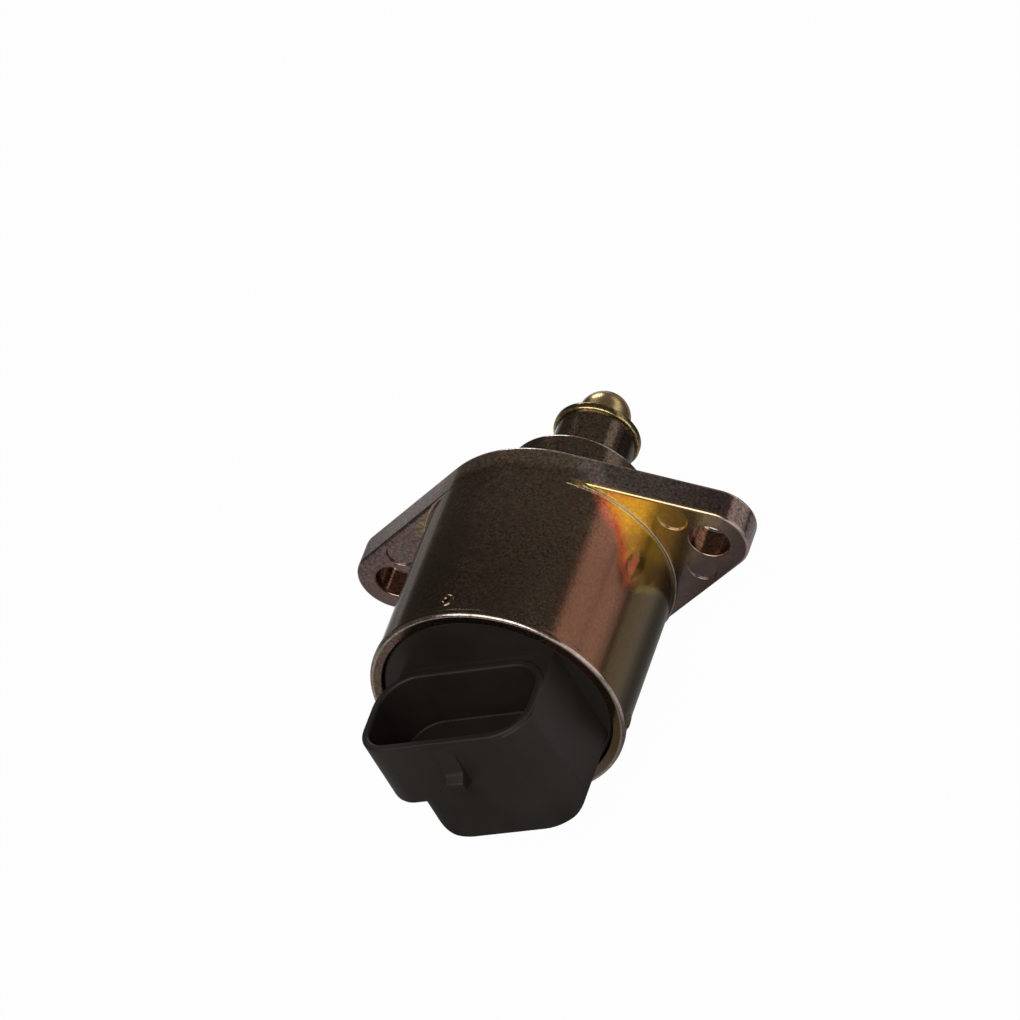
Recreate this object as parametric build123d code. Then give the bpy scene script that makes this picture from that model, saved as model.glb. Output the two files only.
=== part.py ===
from build123d import *
import os
from math import acos, cos, sin

# Idle air control valve: a two-phase stepping motor in a plated casting turns a nut, and the nut
# draws a brass pintle in and out of the nose.
#
# Everything is drawn on the valve's own axis, in millimetres. Station z is the distance behind the
# mounting face, so the nose and the pintle have negative stations. x runs towards one ear of the
# flange and y towards the mouth of the socket. The finished pieces are then turned once, so that
# the part frame has the pintle along +Y and the socket mouth up, along +Z.

# Clearances
running_gap = 0.05      # radial, shaft in bush and pintle in guide
slip_gap = 0.10         # pieces that slide into place at assembly
ring_pinch = 0.02       # between a seal and the walls that hold it

# Can
can_radius = 17.5
can_wall = 1.5
can_length = 31.5       # mounting face to rear rim
can_floor = 4.0         # mounting face to the inner floor
rim_lip = 0.25          # how far the rolled rim stands out
rim_lip_length = 1.1
stake_count = 3
stake_radius = 0.6
stake_depth = 0.6
stake_inset = 3.1       # rear rim to the row of stakes
stake_first_angle = 90.0

# Flange
flange_thickness = 4.8
hole_spacing = 49.3
hole_radius = 2.8
ear_radius = 5.55
flange_edge_round = 0.5
root_ring_width = 1.2
root_ring_height = 0.7
mark_radius = 2.0       # ejector pin marks beside each hole
mark_depth = 0.3
mark_inset = 3.3
mark_offset = 4.85

# Collar and nose
collar_radius = 10.0
collar_length = 9.9
collar_chamfer = 0.4
neck_radius = 5.55
neck_root_flare = 0.8
nose_length = 19.9      # mounting face to the nose rim's front
nose_bore_radius = 4.5
nose_rim_radius = 6.0
nose_rim_thickness = 1.0
nose_rim_round = 0.3

# Mounting seal
mount_ring_section = 1.8
mount_groove_depth = 1.3
mount_groove_width = 2.3
mount_groove_inset = 2.0

# Front ball bearing
bearing_radius = 7.0
bearing_bore_radius = 3.5
bearing_width = 5.0
bearing_seat_depth = 6.5    # mounting face to the shoulder the bearing is sprung against
race_thickness = 1.0
ball_radius = 0.95
ball_count = 9
cage_thickness = 0.6
cage_width = 2.6
preload_height = 0.6
preload_stock = 0.3
retainer_wall = 0.9

# Guide bush and key plate in the nose
guide_length = 4.0
guide_setback = 0.5     # nose front to guide front
key_plate_thickness = 1.2
key_plate_setback = 0.4     # bearing shoulder to key plate

# Pintle and lead screw
pintle_radius = 3.75
pintle_stand = 6.7      # nose rim to the pintle's tip, as drawn
retract_travel = 5.0    # how far the pintle can draw in from here
extend_travel = 3.0     # how far it can push out from here
travel_gap = 0.9        # pintle to key plate when drawn in, and round stretch of the screw when pushed out
pintle_bore_depth = 7.0
screw_radius = 2.0
screw_flat_width = 3.2  # across the two flats
screw_end_gap = 0.5     # how far the screw still stands out of the nut when pushed out
screw_chamfer = 0.4

# Rotor
magnet_setback = 1.2    # floor of the can to the magnet
magnet_end_gap = 1.0    # magnet to the cap's disc
hub_radius = 4.6
hub_neck_radius = 4.3
hub_flange_radius = 5.6
hub_flange_thickness = 0.6
hub_bore_radius = 2.5
hub_end_gap = 0.4       # hub's rear shoulder to the cap's disc
hub_bore_wall = 0.5     # end of the hub's bore to its rear shoulder
tail_radius = 2.5
tail_length = 4.2
nut_radius = 3.4
nut_front = 6.0
nut_length = 10.0

# Stator
stator_bore_ratio = 0.5     # bore of the claws over the bore of the can
air_gap = 0.5
cup_stock = 1.0
claw_count = 6
claw_root_width = 3.6
claw_tip_width = 2.2
claw_tip_gap = 0.8
bobbin_wall = 0.8
bobbin_clearance = 0.1
winding_clearance = 0.9     # winding to the cup's shell

# Rear bush
bush_radius = 4.0
bush_length = 4.0
tail_end_gap = 0.6

# Connector cap: the disc in the can
cap_recess = 1.0        # rear rim to the disc's rear face
cap_thickness = 4.7
cap_edge_chamfer = 0.5
wiring_depth = 1.4
wiring_inner_radius = 5.4
wiring_wall = 1.05      # left between the wiring space and the seal's groove
cap_ring_section = 1.3
cap_groove_depth = 1.25
cap_groove_width = 1.5
cap_groove_inset = 0.5
stake_groove_width = 1.6
stake_groove_depth = 0.6

# Connector cap: the socket
socket_mouth = 8.75     # axis to the mouth plane
socket_foot = 2.9       # axis to the shroud's lower end
socket_width = 26.0
socket_height = 14.15
socket_corner = 5.7
socket_tight_corner = 4.2   # the rear left one
socket_wall = 1.1
socket_setback = 1.6    # disc to the shroud
socket_depth = 8.75
rim_stand = 0.35        # how far the socket's rim stands above the block
mouth_round = 0.25
shroud_foot_round = 1.2
well_width = 19.2
well_height = 4.5
well_depth = 1.6
pedestal_left = 10.5
block_left = 9.0
block_corner = 3.2      # at the foot; at the mouth the block takes the socket's own corner
block_draft = 0.3       # how much further out the block's side is at its foot
block_foot = 9.6        # axis to the block's lower face
block_foot_round = 2.0
latch_width = 2.8
latch_height = 2.0
latch_rib_height = 0.5  # of the slow rib above the catch
latch_top = 7.4         # axis to the start of the rib
latch_start = 3.4       # axis to the start of the catch
latch_crest = 2.6
latch_foot = 1.0
latch_draft = 0.25

# Terminals
terminal_count = 4
terminal_pitch = 4.4
blade_width = 1.5
blade_stock = 0.8
blade_tip = 3.0         # axis to the blade tips
blade_taper = 0.9
leg_drop = 7.0          # axis to the row of legs, away from the mouth
leg_end_gap = 0.6       # how far the legs stop short of the disc's front face

# Places worked out from the sizes above
can_bore = can_radius - can_wall
disc_rear = can_length - cap_recess
stack_rear = disc_rear - cap_thickness
phase_length = (stack_rear - can_floor) / 2
magnet_front = can_floor + magnet_setback
magnet_rear = stack_rear - magnet_end_gap
hub_rear = stack_rear - hub_end_gap
shroud_front = disc_rear + socket_setback
shroud_rear = shroud_front + socket_height
socket_middle = (shroud_front + shroud_rear) / 2
shoulder = -bearing_seat_depth
bearing_front = shoulder + preload_height
bearing_rear = bearing_front + bearing_width
ball_pitch = (bearing_radius + bearing_bore_radius) / 2
claw_bore = can_bore * stator_bore_ratio
magnet_radius = claw_bore - air_gap
cup_radius = can_bore - slip_gap
key_plate_rear = shoulder - key_plate_setback
key_plate_front = key_plate_rear - key_plate_thickness
pintle_tip = -nose_length - pintle_stand
pintle_rear = key_plate_front - travel_gap - retract_travel
screw_flat_rear = key_plate_rear + travel_gap + extend_travel
screw_rear = nut_front + nut_length + screw_end_gap + extend_travel


def turned(*points):
    """Solid turned about the valve axis from (radius, station) points."""
    return revolve(Plane.XZ * Polygon(*points, align=None), Axis.Z)


def tube(outer, inner, front, rear):
    """Plain ring between two radii and two stations."""
    return turned((inner, front), (outer, front), (outer, rear), (inner, rear))


def rod(radius, front, rear):
    """Plain round bar between two stations."""
    return Pos(0, 0, front) * extrude(Circle(radius), rear - front)


def ring(outer, section, station):
    """Round-section seal with the given outer radius."""
    return Pos(0, 0, station) * Torus(outer - section / 2, section / 2)


def around(count, solid, first=0.0):
    """Copies of a solid spaced evenly round the axis."""
    return [Rot(0, 0, first + 360 * i / count) * solid for i in range(count)]


def upright(width, height, corner, front, low, high):
    """Rounded block of the socket: width along x, height along the axis, standing from low to high."""
    plane = Plane((0, low, front + height / 2), x_dir=(1, 0, 0), z_dir=(0, 1, 0))
    return extrude(plane * RectangleRounded(width, height, corner), high - low)


def sleeve(inset, low, high):
    """Outline of the socket set inwards, standing from low to high; one rear corner is tighter."""
    width, height = socket_width - 2 * inset, socket_height - 2 * inset
    patch = 2 * socket_corner
    sharper = upright(patch, patch, socket_tight_corner - inset, shroud_rear - inset - patch, low, high)
    whole = upright(width, height, socket_corner - inset, shroud_front + inset, low, high)
    return whole + Pos((patch - width) / 2, 0, 0) * sharper


def flange_outline():
    """Two ears drawn tight round the can by straight tangents."""
    reach = hole_spacing / 2
    lean = acos((can_radius - ear_radius) / reach)
    tangent = [(reach + ear_radius * cos(lean), ear_radius * sin(lean)),
               (can_radius * cos(lean), can_radius * sin(lean))]
    upper = tangent + [(-x, y) for x, y in reversed(tangent)]
    lower = [(x, -y) for x, y in reversed(upper)]
    ears = [Pos(side * reach, 0) * Circle(ear_radius) for side in (-1, 1)]
    return Circle(can_radius) + [Polygon(*upper, *lower, align=None), *ears]


def valve_body():
    """Casting with the can, the two-eared flange, the collar and the nose in one piece."""
    outline = flange_outline()
    flange = extrude(outline, flange_thickness)
    rims = flange.faces().filter_by(Axis.Z).edges()
    flange = fillet(rims, flange_edge_round)
    root = extrude(Pos(0, 0, flange_thickness) * outline, root_ring_height)
    root &= rod(can_radius + root_ring_width, 0, can_length)
    nose_back = -nose_length + nose_rim_thickness
    collar = turned((0, can_floor), (collar_radius, can_floor),
                    (collar_radius, -collar_length + collar_chamfer),
                    (collar_radius - collar_chamfer, -collar_length), (0, -collar_length))
    neck = rod(neck_radius, nose_back, -collar_length)
    flare_end = -collar_length - neck_root_flare
    neck_root = turned((0, -collar_length), (neck_radius + neck_root_flare, -collar_length),
                       (neck_radius, flare_end), (0, flare_end))
    nose_rim = rod(nose_rim_radius, -nose_length, nose_back)
    nose_rim = fillet(nose_rim.edges(), nose_rim_round)
    lip = rod(can_radius + rim_lip, can_length - rim_lip_length, can_length)
    lip = fillet(lip.edges(), rim_lip)
    body = rod(can_radius, 0, can_length) + [flange, root, collar, neck, neck_root, nose_rim, lip]

    body -= rod(can_bore, can_floor, can_length)
    body -= rod(bearing_radius, shoulder, can_floor)
    body -= rod(nose_bore_radius, -nose_length, shoulder)
    groove_rear = -mount_groove_inset
    groove_bottom = collar_radius - mount_groove_depth
    body -= tube(2 * collar_radius, groove_bottom, groove_rear - mount_groove_width, groove_rear)
    for side in (-1, 1):
        x = side * hole_spacing / 2
        body -= Pos(x, 0, 0) * rod(hole_radius, 0, flange_thickness)
        for lean in (-1, 1):
            mark = rod(mark_radius, flange_thickness - mark_depth, flange_thickness + root_ring_height)
            body -= Pos(side * (hole_spacing / 2 - mark_inset), lean * mark_offset, 0) * mark

    stake_station = can_length - stake_inset
    pit = Pos(can_radius, 0, stake_station) * Rot(0, 90, 0) * Cylinder(stake_radius, 2 * stake_depth)
    nub_reach = stake_groove_depth - slip_gap
    nub = Pos(can_bore, 0, stake_station) * Rot(0, 90, 0) * Cylinder(stake_radius, 2 * nub_reach)
    body += around(stake_count, nub, stake_first_angle)
    body -= around(stake_count, pit, stake_first_angle)
    return body


def mount_o_ring():
    """Seal in the collar's groove, standing proud of the collar."""
    outer = collar_radius - mount_groove_depth + ring_pinch + mount_ring_section
    return ring(outer, mount_ring_section, -mount_groove_inset - mount_groove_width / 2)


def preload_washer():
    """Conical spring washer that pushes the outer race rearward off the shoulder."""
    inner = nose_bore_radius + slip_gap
    outer = bearing_radius - slip_gap
    low, high = shoulder, bearing_front
    return turned((inner, low), (outer, high - preload_stock), (outer, high), (inner, low + preload_stock))


def race_groove():
    """Round track that both races share, a little larger than the balls."""
    return Pos(0, 0, bearing_front + bearing_width / 2) * Torus(ball_pitch, ball_radius + running_gap)


def bearing_outer_race():
    race = tube(bearing_radius, bearing_radius - race_thickness, bearing_front, bearing_rear)
    return race - race_groove()


def bearing_inner_race():
    outer = bearing_bore_radius + race_thickness
    return tube(outer, bearing_bore_radius, bearing_front, bearing_rear) - race_groove()


def bearing_balls():
    ball = Pos(ball_pitch, 0, bearing_front + bearing_width / 2) * Sphere(ball_radius)
    return Compound(children=around(ball_count, ball))


def ball_cage():
    """Ring with one pocket for each ball."""
    middle = bearing_front + bearing_width / 2
    cage = tube(ball_pitch + cage_thickness / 2, ball_pitch - cage_thickness / 2,
                middle - cage_width / 2, middle + cage_width / 2)
    pocket = Cylinder(ball_radius + running_gap, 2 * cage_thickness)
    pocket = Pos(ball_pitch, 0, middle) * Rot(0, 90, 0) * pocket
    return cage - around(ball_count, pocket)


def bearing_retainer():
    """Sleeve pressed in behind the bearing, flush with the floor of the can."""
    return tube(bearing_radius, bearing_radius - retainer_wall, bearing_rear, can_floor)


def guide_bush():
    """Bronze sleeve in the nose that the pintle slides in."""
    front = -nose_length + guide_setback
    return tube(nose_bore_radius, pintle_radius + running_gap, front, front + guide_length)


def flatted(radius, flats):
    """Circle with two flats, the section that keeps the screw from turning."""
    return Circle(radius) & Rectangle(4 * radius, flats)


def key_plate():
    """Plate with a two-flat hole that lets the screw slide but not turn."""
    hole = flatted(screw_radius + running_gap, screw_flat_width + 2 * running_gap)
    return Pos(0, 0, key_plate_front) * extrude(Circle(nose_bore_radius) - hole, key_plate_thickness)


def pintle():
    """Brass plunger with a round nose, bored at the back for the screw."""
    dome = pintle_tip + pintle_radius
    body = rod(pintle_radius, dome, pintle_rear) + Pos(0, 0, dome) * Sphere(pintle_radius)
    return body - rod(screw_radius, pintle_rear - pintle_bore_depth, pintle_rear)


def lead_screw():
    """Screw fixed in the pintle. Its front stretch has two flats, and its rear runs in the nut."""
    front = pintle_rear - pintle_bore_depth
    screw = rod(screw_radius, front, pintle_rear) + rod(screw_radius, screw_flat_rear, screw_rear)
    screw = chamfer(screw.edges().group_by(Axis.Z)[-1], screw_chamfer)
    key = extrude(flatted(screw_radius, screw_flat_width), screw_flat_rear - pintle_rear)
    return screw + Pos(0, 0, pintle_rear) * key


def drive_nut():
    """Brass insert moulded into the hub. Its fine thread is drawn as a plain running bore."""
    return tube(nut_radius, screw_radius + running_gap, nut_front, nut_front + nut_length)


def rotor_hub():
    """Moulded hub that carries the magnet, the nut and the rear journal."""
    flange_front = magnet_front - hub_flange_thickness
    hub = turned((0, bearing_front), (bearing_bore_radius, bearing_front),
                 (bearing_bore_radius, bearing_rear),
                 (hub_neck_radius, bearing_rear), (hub_neck_radius, flange_front),
                 (hub_flange_radius, flange_front), (hub_flange_radius, magnet_front),
                 (hub_radius, magnet_front), (hub_radius, hub_rear), (tail_radius, hub_rear),
                 (tail_radius, hub_rear + tail_length), (0, hub_rear + tail_length))
    hub -= rod(hub_bore_radius, bearing_front, hub_rear - hub_bore_wall)
    return hub - rod(nut_radius, nut_front, nut_front + nut_length)


def rotor_magnet():
    return tube(magnet_radius, hub_radius, magnet_front, magnet_rear)


def claws(plate_rear):
    """Tapered pole teeth that stand rearward from a plate, round the bore of the stator."""
    length = phase_length - 2 * cup_stock - claw_tip_gap
    half_root, half_tip = claw_root_width / 2, claw_tip_width / 2
    side = Polygon((-half_root, 0), (half_root, 0), (half_tip, length), (-half_tip, length), align=None)
    blank = extrude(Plane.XZ * side, -2 * claw_bore)
    tooth = blank & tube(claw_bore + cup_stock, claw_bore, 0, length)
    return around(claw_count, Pos(0, 0, plate_rear) * tooth)


def field_cup():
    """Deep cup of one phase: plate, outer shell and a ring of claws, open to the rear."""
    plate = tube(cup_radius, claw_bore, 0, cup_stock)
    shell = tube(cup_radius, cup_radius - cup_stock, 0, phase_length)
    return plate + shell + claws(cup_stock)


def field_plate():
    """Flat lid of one phase, with claws between the cup's own."""
    plate = tube(cup_radius - cup_stock, claw_bore, 0, cup_stock)
    return plate + claws(cup_stock)


def bobbin():
    """Spool of one phase, from plate to plate."""
    length = phase_length - 2 * cup_stock - 2 * bobbin_clearance
    inner = claw_bore + cup_stock + bobbin_clearance
    outer = cup_radius - cup_stock - bobbin_clearance
    core = inner + bobbin_wall
    front = cup_stock + bobbin_clearance
    return turned((inner, front), (outer, front), (outer, front + bobbin_wall), (core, front + bobbin_wall),
                  (core, front + length - bobbin_wall), (outer, front + length - bobbin_wall),
                  (outer, front + length), (inner, front + length))


def winding():
    """Copper of one phase, drawn as the solid ring that its turns fill."""
    core = claw_bore + cup_stock + bobbin_clearance + bobbin_wall
    front = cup_stock + bobbin_clearance + bobbin_wall
    return tube(cup_radius - cup_stock - winding_clearance, core, front, phase_length - front)


def stator_phases():
    """Both phases, back to back, with the rear one turned by half a pole."""
    pole = 360 / (2 * claw_count)
    pieces = {}
    for name, front, turn in (("front", can_floor, 0), ("rear", can_floor + phase_length, pole / 2)):
        seat = Pos(0, 0, front) * Rot(0, 0, turn)
        lid = Pos(0, 0, phase_length) * Rot(180, 0, pole)
        pieces[f"{name}_field_cup"] = seat * field_cup()
        pieces[f"{name}_field_plate"] = seat * lid * field_plate()
        pieces[f"{name}_bobbin"] = seat * bobbin()
        pieces[f"{name}_winding"] = seat * winding()
    return pieces


def rear_bush():
    """Bronze bush in the cap for the hub's tail."""
    return tube(bush_radius, tail_radius + running_gap, stack_rear, stack_rear + bush_length)


def cap_seal():
    """Seal between the cap's disc and the can."""
    station = stack_rear + cap_groove_inset + cap_groove_width / 2
    return ring(can_bore - ring_pinch, cap_ring_section, station)


def terminal(x):
    """Blade of the socket, bent at its root into a leg that runs forward to the windings."""
    leg_end = stack_rear + leg_end_gap
    blade = Pos(x, 0, socket_middle) * Box(blade_width, blade_tip + leg_drop, blade_stock,
                                           align=(Align.CENTER, Align.MIN, Align.CENTER))
    blade = Pos(0, -leg_drop, 0) * blade
    tip_edges = blade.edges().group_by(Axis.Y)[-1].filter_by(Axis.Z)
    blade = chamfer(tip_edges, blade_taper, (blade_width - blade_stock) / 2)
    leg_length = socket_middle + blade_stock / 2 - leg_end
    leg = Pos(x, -leg_drop, leg_end) * Box(blade_width, blade_stock, leg_length,
                                           align=(Align.CENTER, Align.MIN, Align.MIN))
    return blade + leg


def terminals():
    half_row = (terminal_count - 1) / 2
    return {f"terminal_{i + 1}": terminal((i - half_row) * terminal_pitch) for i in range(terminal_count)}


def cap_disc():
    """Disc that closes the can, with grooves for its seal and the stakes and a space for the wiring."""
    edge = can_bore - slip_gap
    groove_front = stack_rear + cap_groove_inset
    stake_station = can_length - stake_inset
    disc = turned((0, stack_rear), (edge, stack_rear), (edge, disc_rear - cap_edge_chamfer),
                  (edge - cap_edge_chamfer, disc_rear), (0, disc_rear))
    disc -= tube(can_bore, edge - cap_groove_depth, groove_front, groove_front + cap_groove_width)
    disc -= tube(can_bore, edge - stake_groove_depth,
                 stake_station - stake_groove_width / 2, stake_station + stake_groove_width / 2)
    wiring_outer_radius = edge - cap_groove_depth - wiring_wall
    return disc - tube(wiring_outer_radius, wiring_inner_radius, stack_rear, stack_rear + wiring_depth)


def block_section(height, right, corner):
    """Section of the block at one height: square against the disc, rounded at the rear."""
    plane = Plane((0, height, disc_rear), x_dir=(-1, 0, 0), z_dir=(0, 1, 0))
    face = Pos((block_left - right) / 2, (shroud_rear - disc_rear) / 2) * Rectangle(
        block_left + right, shroud_rear - disc_rear)
    return plane * fillet(face.vertices().group_by(Axis.Y)[-1], corner)


def socket_block():
    """Right-angle socket housing behind the disc, before the pocket is taken out."""
    half_width = socket_width / 2
    block_top = socket_mouth - rim_stand
    shroud = sleeve(0, -socket_foot, socket_mouth)
    shroud = fillet(shroud.faces().sort_by(Axis.Y)[0].edges(), shroud_foot_round)
    block = loft([block_section(-block_foot, half_width + block_draft, block_corner),
                  block_section(block_top, half_width, socket_corner)])
    foot = block.faces().sort_by(Axis.Y)[0].edges()
    block = fillet(foot.sort_by(Axis.Z)[1:], block_foot_round)
    pedestal_depth = socket_setback + socket_corner / 2
    pedestal = Pos(-pedestal_left, -socket_foot, disc_rear) * Box(
        pedestal_left + half_width, socket_foot + block_top, pedestal_depth, align=Align.MIN)
    return shroud + block + pedestal


def latch():
    """Slow rib on the rear face that ends in the catch that the plug's latch snaps over."""
    inside, crest = shroud_rear - socket_wall / 2, shroud_rear + latch_height
    side = Polygon((inside, latch_top), (shroud_rear, latch_top),
                   (shroud_rear + latch_rib_height, latch_start), (crest, latch_crest),
                   (crest, latch_foot + latch_draft), (shroud_rear, latch_foot),
                   (inside, latch_foot), align=None)
    plane = Plane((0, 0, 0), x_dir=(0, 0, 1), z_dir=(-1, 0, 0))
    return extrude(plane * side, latch_width / 2, both=True)


def connector_cap():
    """Moulded cap: the disc in the can and the right-angle socket in one piece."""
    cap = cap_disc() + socket_block() + latch()
    pocket_floor = socket_mouth - socket_depth
    cap -= sleeve(socket_wall, pocket_floor, socket_mouth)
    rim = cap.faces().filter_by_position(Axis.Y, socket_mouth, socket_mouth)
    cap = fillet(rim.edges(), mouth_round)
    cap -= upright(well_width, well_height, well_height / 4, socket_middle - well_height / 2,
                   pocket_floor - well_depth, pocket_floor)
    cap -= rod(bush_radius, stack_rear, stack_rear + bush_length)
    cap -= rod(tail_radius + slip_gap, stack_rear, hub_rear + tail_length + tail_end_gap)
    return cap - list(terminals().values())


def all_pieces():
    pieces = {
        "valve_body": valve_body(),
        "connector_cap": connector_cap(),
        "cap_seal": cap_seal(),
        "mount_o_ring": mount_o_ring(),
        "guide_bush": guide_bush(),
        "key_plate": key_plate(),
        "preload_washer": preload_washer(),
        "bearing_outer_race": bearing_outer_race(),
        "bearing_inner_race": bearing_inner_race(),
        "bearing_balls": bearing_balls(),
        "ball_cage": ball_cage(),
        "bearing_retainer": bearing_retainer(),
        "rear_bush": rear_bush(),
        "rotor_hub": rotor_hub(),
        "rotor_magnet": rotor_magnet(),
        "drive_nut": drive_nut(),
        "lead_screw": lead_screw(),
        "pintle": pintle(),
    }
    pieces.update(terminals())
    pieces.update(stator_phases())
    return pieces


os.makedirs("parts", exist_ok=True)
to_part_frame = Rot(90, 0, 0)
for node, piece in all_pieces().items():
    export_step(to_part_frame * piece, f"parts/{node}.step")
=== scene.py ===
"""Dressed model of an idle air control valve, built over its packed frame."""
from math import acos, cos, pi, radians, sin

import bmesh
import bpy
from bpy.props import FloatProperty, FloatVectorProperty, PointerProperty
from mathutils import Matrix, Vector


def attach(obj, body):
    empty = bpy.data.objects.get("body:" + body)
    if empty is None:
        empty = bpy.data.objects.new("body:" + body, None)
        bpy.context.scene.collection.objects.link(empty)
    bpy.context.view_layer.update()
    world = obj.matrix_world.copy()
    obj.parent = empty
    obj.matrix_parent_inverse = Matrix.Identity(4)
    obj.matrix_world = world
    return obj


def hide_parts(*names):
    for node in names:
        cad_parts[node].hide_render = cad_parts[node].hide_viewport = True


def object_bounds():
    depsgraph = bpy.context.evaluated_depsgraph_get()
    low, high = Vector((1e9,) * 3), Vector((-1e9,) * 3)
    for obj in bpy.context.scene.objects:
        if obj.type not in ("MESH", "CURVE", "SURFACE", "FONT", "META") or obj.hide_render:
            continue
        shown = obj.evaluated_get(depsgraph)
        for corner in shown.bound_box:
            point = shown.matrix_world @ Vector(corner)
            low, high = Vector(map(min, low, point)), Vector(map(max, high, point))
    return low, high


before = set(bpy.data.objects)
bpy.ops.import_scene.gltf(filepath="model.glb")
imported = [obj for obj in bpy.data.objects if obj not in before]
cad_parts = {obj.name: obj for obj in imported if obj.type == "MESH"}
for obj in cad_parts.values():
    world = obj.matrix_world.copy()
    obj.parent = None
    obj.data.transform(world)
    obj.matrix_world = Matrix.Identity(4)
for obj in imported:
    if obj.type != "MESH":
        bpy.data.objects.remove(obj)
CAD_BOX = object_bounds()

bl_info = {
    "name": "Idle air valve",
    "version": (1, 0, 0),
    "blender": (4, 5, 0),
    "location": "3D View > Sidebar > Idle valve",
    "description": "Builds the dressed pieces of an idle air control valve over its packed frame",
    "category": "Add Mesh",
}

MM = 0.001
DEGREE = radians(1)
AXIS = Vector((0, 1, 0))

# Steps round a full turn of a shape, and in one rounded corner
TURN_STEPS = 224
SMALL_TURN_STEPS = 96
HOLLOW_STEPS = 150
STAKE_STEPS = 44
RING_STEPS = 200
ROUND_STEPS = 5

SHARP_ANGLE = radians(40)   # edges that bend more than this stay sharp
WELD = 0.002 * MM           # vertices nearer than this become one
CLEAR = 0.005 * MM          # keeps a cutter's face off the face that it cuts
PROUD = 1.0 * MM            # how far a cutter stands out of what it cuts
RUBBER_BLOOM = (0.02, 0.02, 0.021)

# Depth of the gold patch on the can, a painted reflection of the right ear, as (degrees round the can,
# millimetres from the mounting face)
EAR_REFLECTION_SPAN = (-45, 50)
EAR_REFLECTION_DEEPEST = 20.0
EAR_REFLECTION_DEPTH = ((-44, 2.0), (-24, 6.4), (5.6, 13.6), (14.7, 14.9), (27.6, 8.9), (38.8, 6.3), (49, 2.0))

# Bands of light and dark on the floor that the plating mirrors, as (millimetres across, glow)
FLOOR_SPAN = (-400, 400)
FLOOR_GLOW = ((-400, 0.08), (-260, 0.30), (-170, 0.30), (-100, 0.17), (-35, 0.38), (-16, 0.05), (8, 0.26),
              (15, 0.09), (20, 0.09), (26, 0.40), (45, 0.40), (48, 0.10), (53, 0.12), (58, 0.45), (90, 0.75))


def size(name, description, millimetres):
    """Length property whose default is written in millimetres."""
    return FloatProperty(name=name, description=description, default=millimetres * MM, min=0.0,
                         precision=5, unit="LENGTH")


def colour(name, description, red, green, blue):
    """Linear colour property."""
    return FloatVectorProperty(name=name, description=description, default=(red, green, blue), size=3,
                               min=0.0, max=1.0, subtype="COLOR")


def spot(name, description, x, y, z):
    """Place property whose default is written in millimetres."""
    return FloatVectorProperty(name=name, description=description, default=(x * MM, y * MM, z * MM), size=3,
                               precision=5, subtype="TRANSLATION", unit="LENGTH")


class ValveBodySizes(bpy.types.PropertyGroup):
    """Sizes of the plated casting."""
    can_radius: size("Can radius", "Outer radius of the can", 17.5)
    can_bore: size("Can bore", "Inner radius of the can", 16.0)
    can_length: size("Can length", "Mounting face to the rear rim", 31.5)
    can_floor: size("Can floor", "Mounting face to the floor inside the can", 4.0)
    lip_height: size("Lip height", "How far the rolled rim stands out of the can", 0.25)
    lip_length: size("Lip length", "Length of the rolled rim", 1.1)
    rim_round: size("Rim rounding", "Rounding of the rear rim's edges", 0.5)
    flange_thickness: size("Flange thickness", "Thickness of the flange and its ears", 4.8)
    hole_spacing: size("Hole spacing", "Distance between the two bolt holes", 49.3)
    hole_radius: size("Hole radius", "Radius of a bolt hole", 2.8)
    ear_radius: size("Ear radius", "Radius of an ear round its hole", 5.55)
    edge_round: size("Flange edge rounding", "Rounding of the flange's rims", 0.45)
    ring_width: size("Root ring width", "Width of the ring where the can meets the flange", 0.42)
    ring_height: size("Root ring height", "Height of the step that the ring ends in", 0.4)
    ring_fillet: size("Root fillet", "Radius of the fillet from the ring to the can", 0.3)
    mark_radius: size("Ejector mark radius", "Radius of the round marks beside each hole", 2.0)
    mark_depth: size("Ejector mark depth", "Depth of the round marks", 0.3)
    mark_inset: size("Ejector mark inset", "How far the marks sit inside the hole's place", 3.3)
    mark_offset: size("Ejector mark offset", "Height of the marks above and below the hole", 4.85)
    stake_station: size("Stake station", "Mounting face to the row of stakes", 28.4)
    stake_radius: size("Stake radius", "Radius of a stake's pit", 0.6)
    stake_depth: size("Stake depth", "Depth of a stake's pit", 0.6)
    burr_height: size("Burr height", "How far the metal pushed up round a stake stands out", 0.22)
    collar_radius: size("Collar radius", "Radius of the locating collar", 10.0)
    collar_length: size("Collar length", "Mounting face to the collar's end", 9.9)
    collar_chamfer: size("Collar chamfer", "Broken edge of the collar", 0.4)
    groove_depth: size("Seal groove depth", "Depth of the seal's groove in the collar", 1.3)
    groove_rear: size("Seal groove start", "Mounting face to the seal's groove", 2.0)
    groove_width: size("Seal groove width", "Width of the seal's groove", 2.3)
    neck_radius: size("Neck radius", "Radius of the neck behind the nose", 5.7)
    neck_flare: size("Neck flare", "Fillet at the neck's root", 0.8)
    nose_length: size("Nose length", "Mounting face to the nose's end", 19.9)
    nose_radius: size("Nose rim radius", "Radius of the rim round the nose", 6.2)
    nose_rim: size("Nose rim length", "Length of the rim round the nose", 1.2)
    nose_round: size("Nose rim rounding", "Rounding of the nose rim", 0.3)
    nose_bore: size("Nose bore", "Radius of the bore behind the nose", 4.5)
    bearing_bore: size("Bearing bore", "Radius of the bearing's seat", 7.0)
    bearing_depth: size("Bearing seat depth", "Mounting face to the bearing's shoulder", 6.5)


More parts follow.
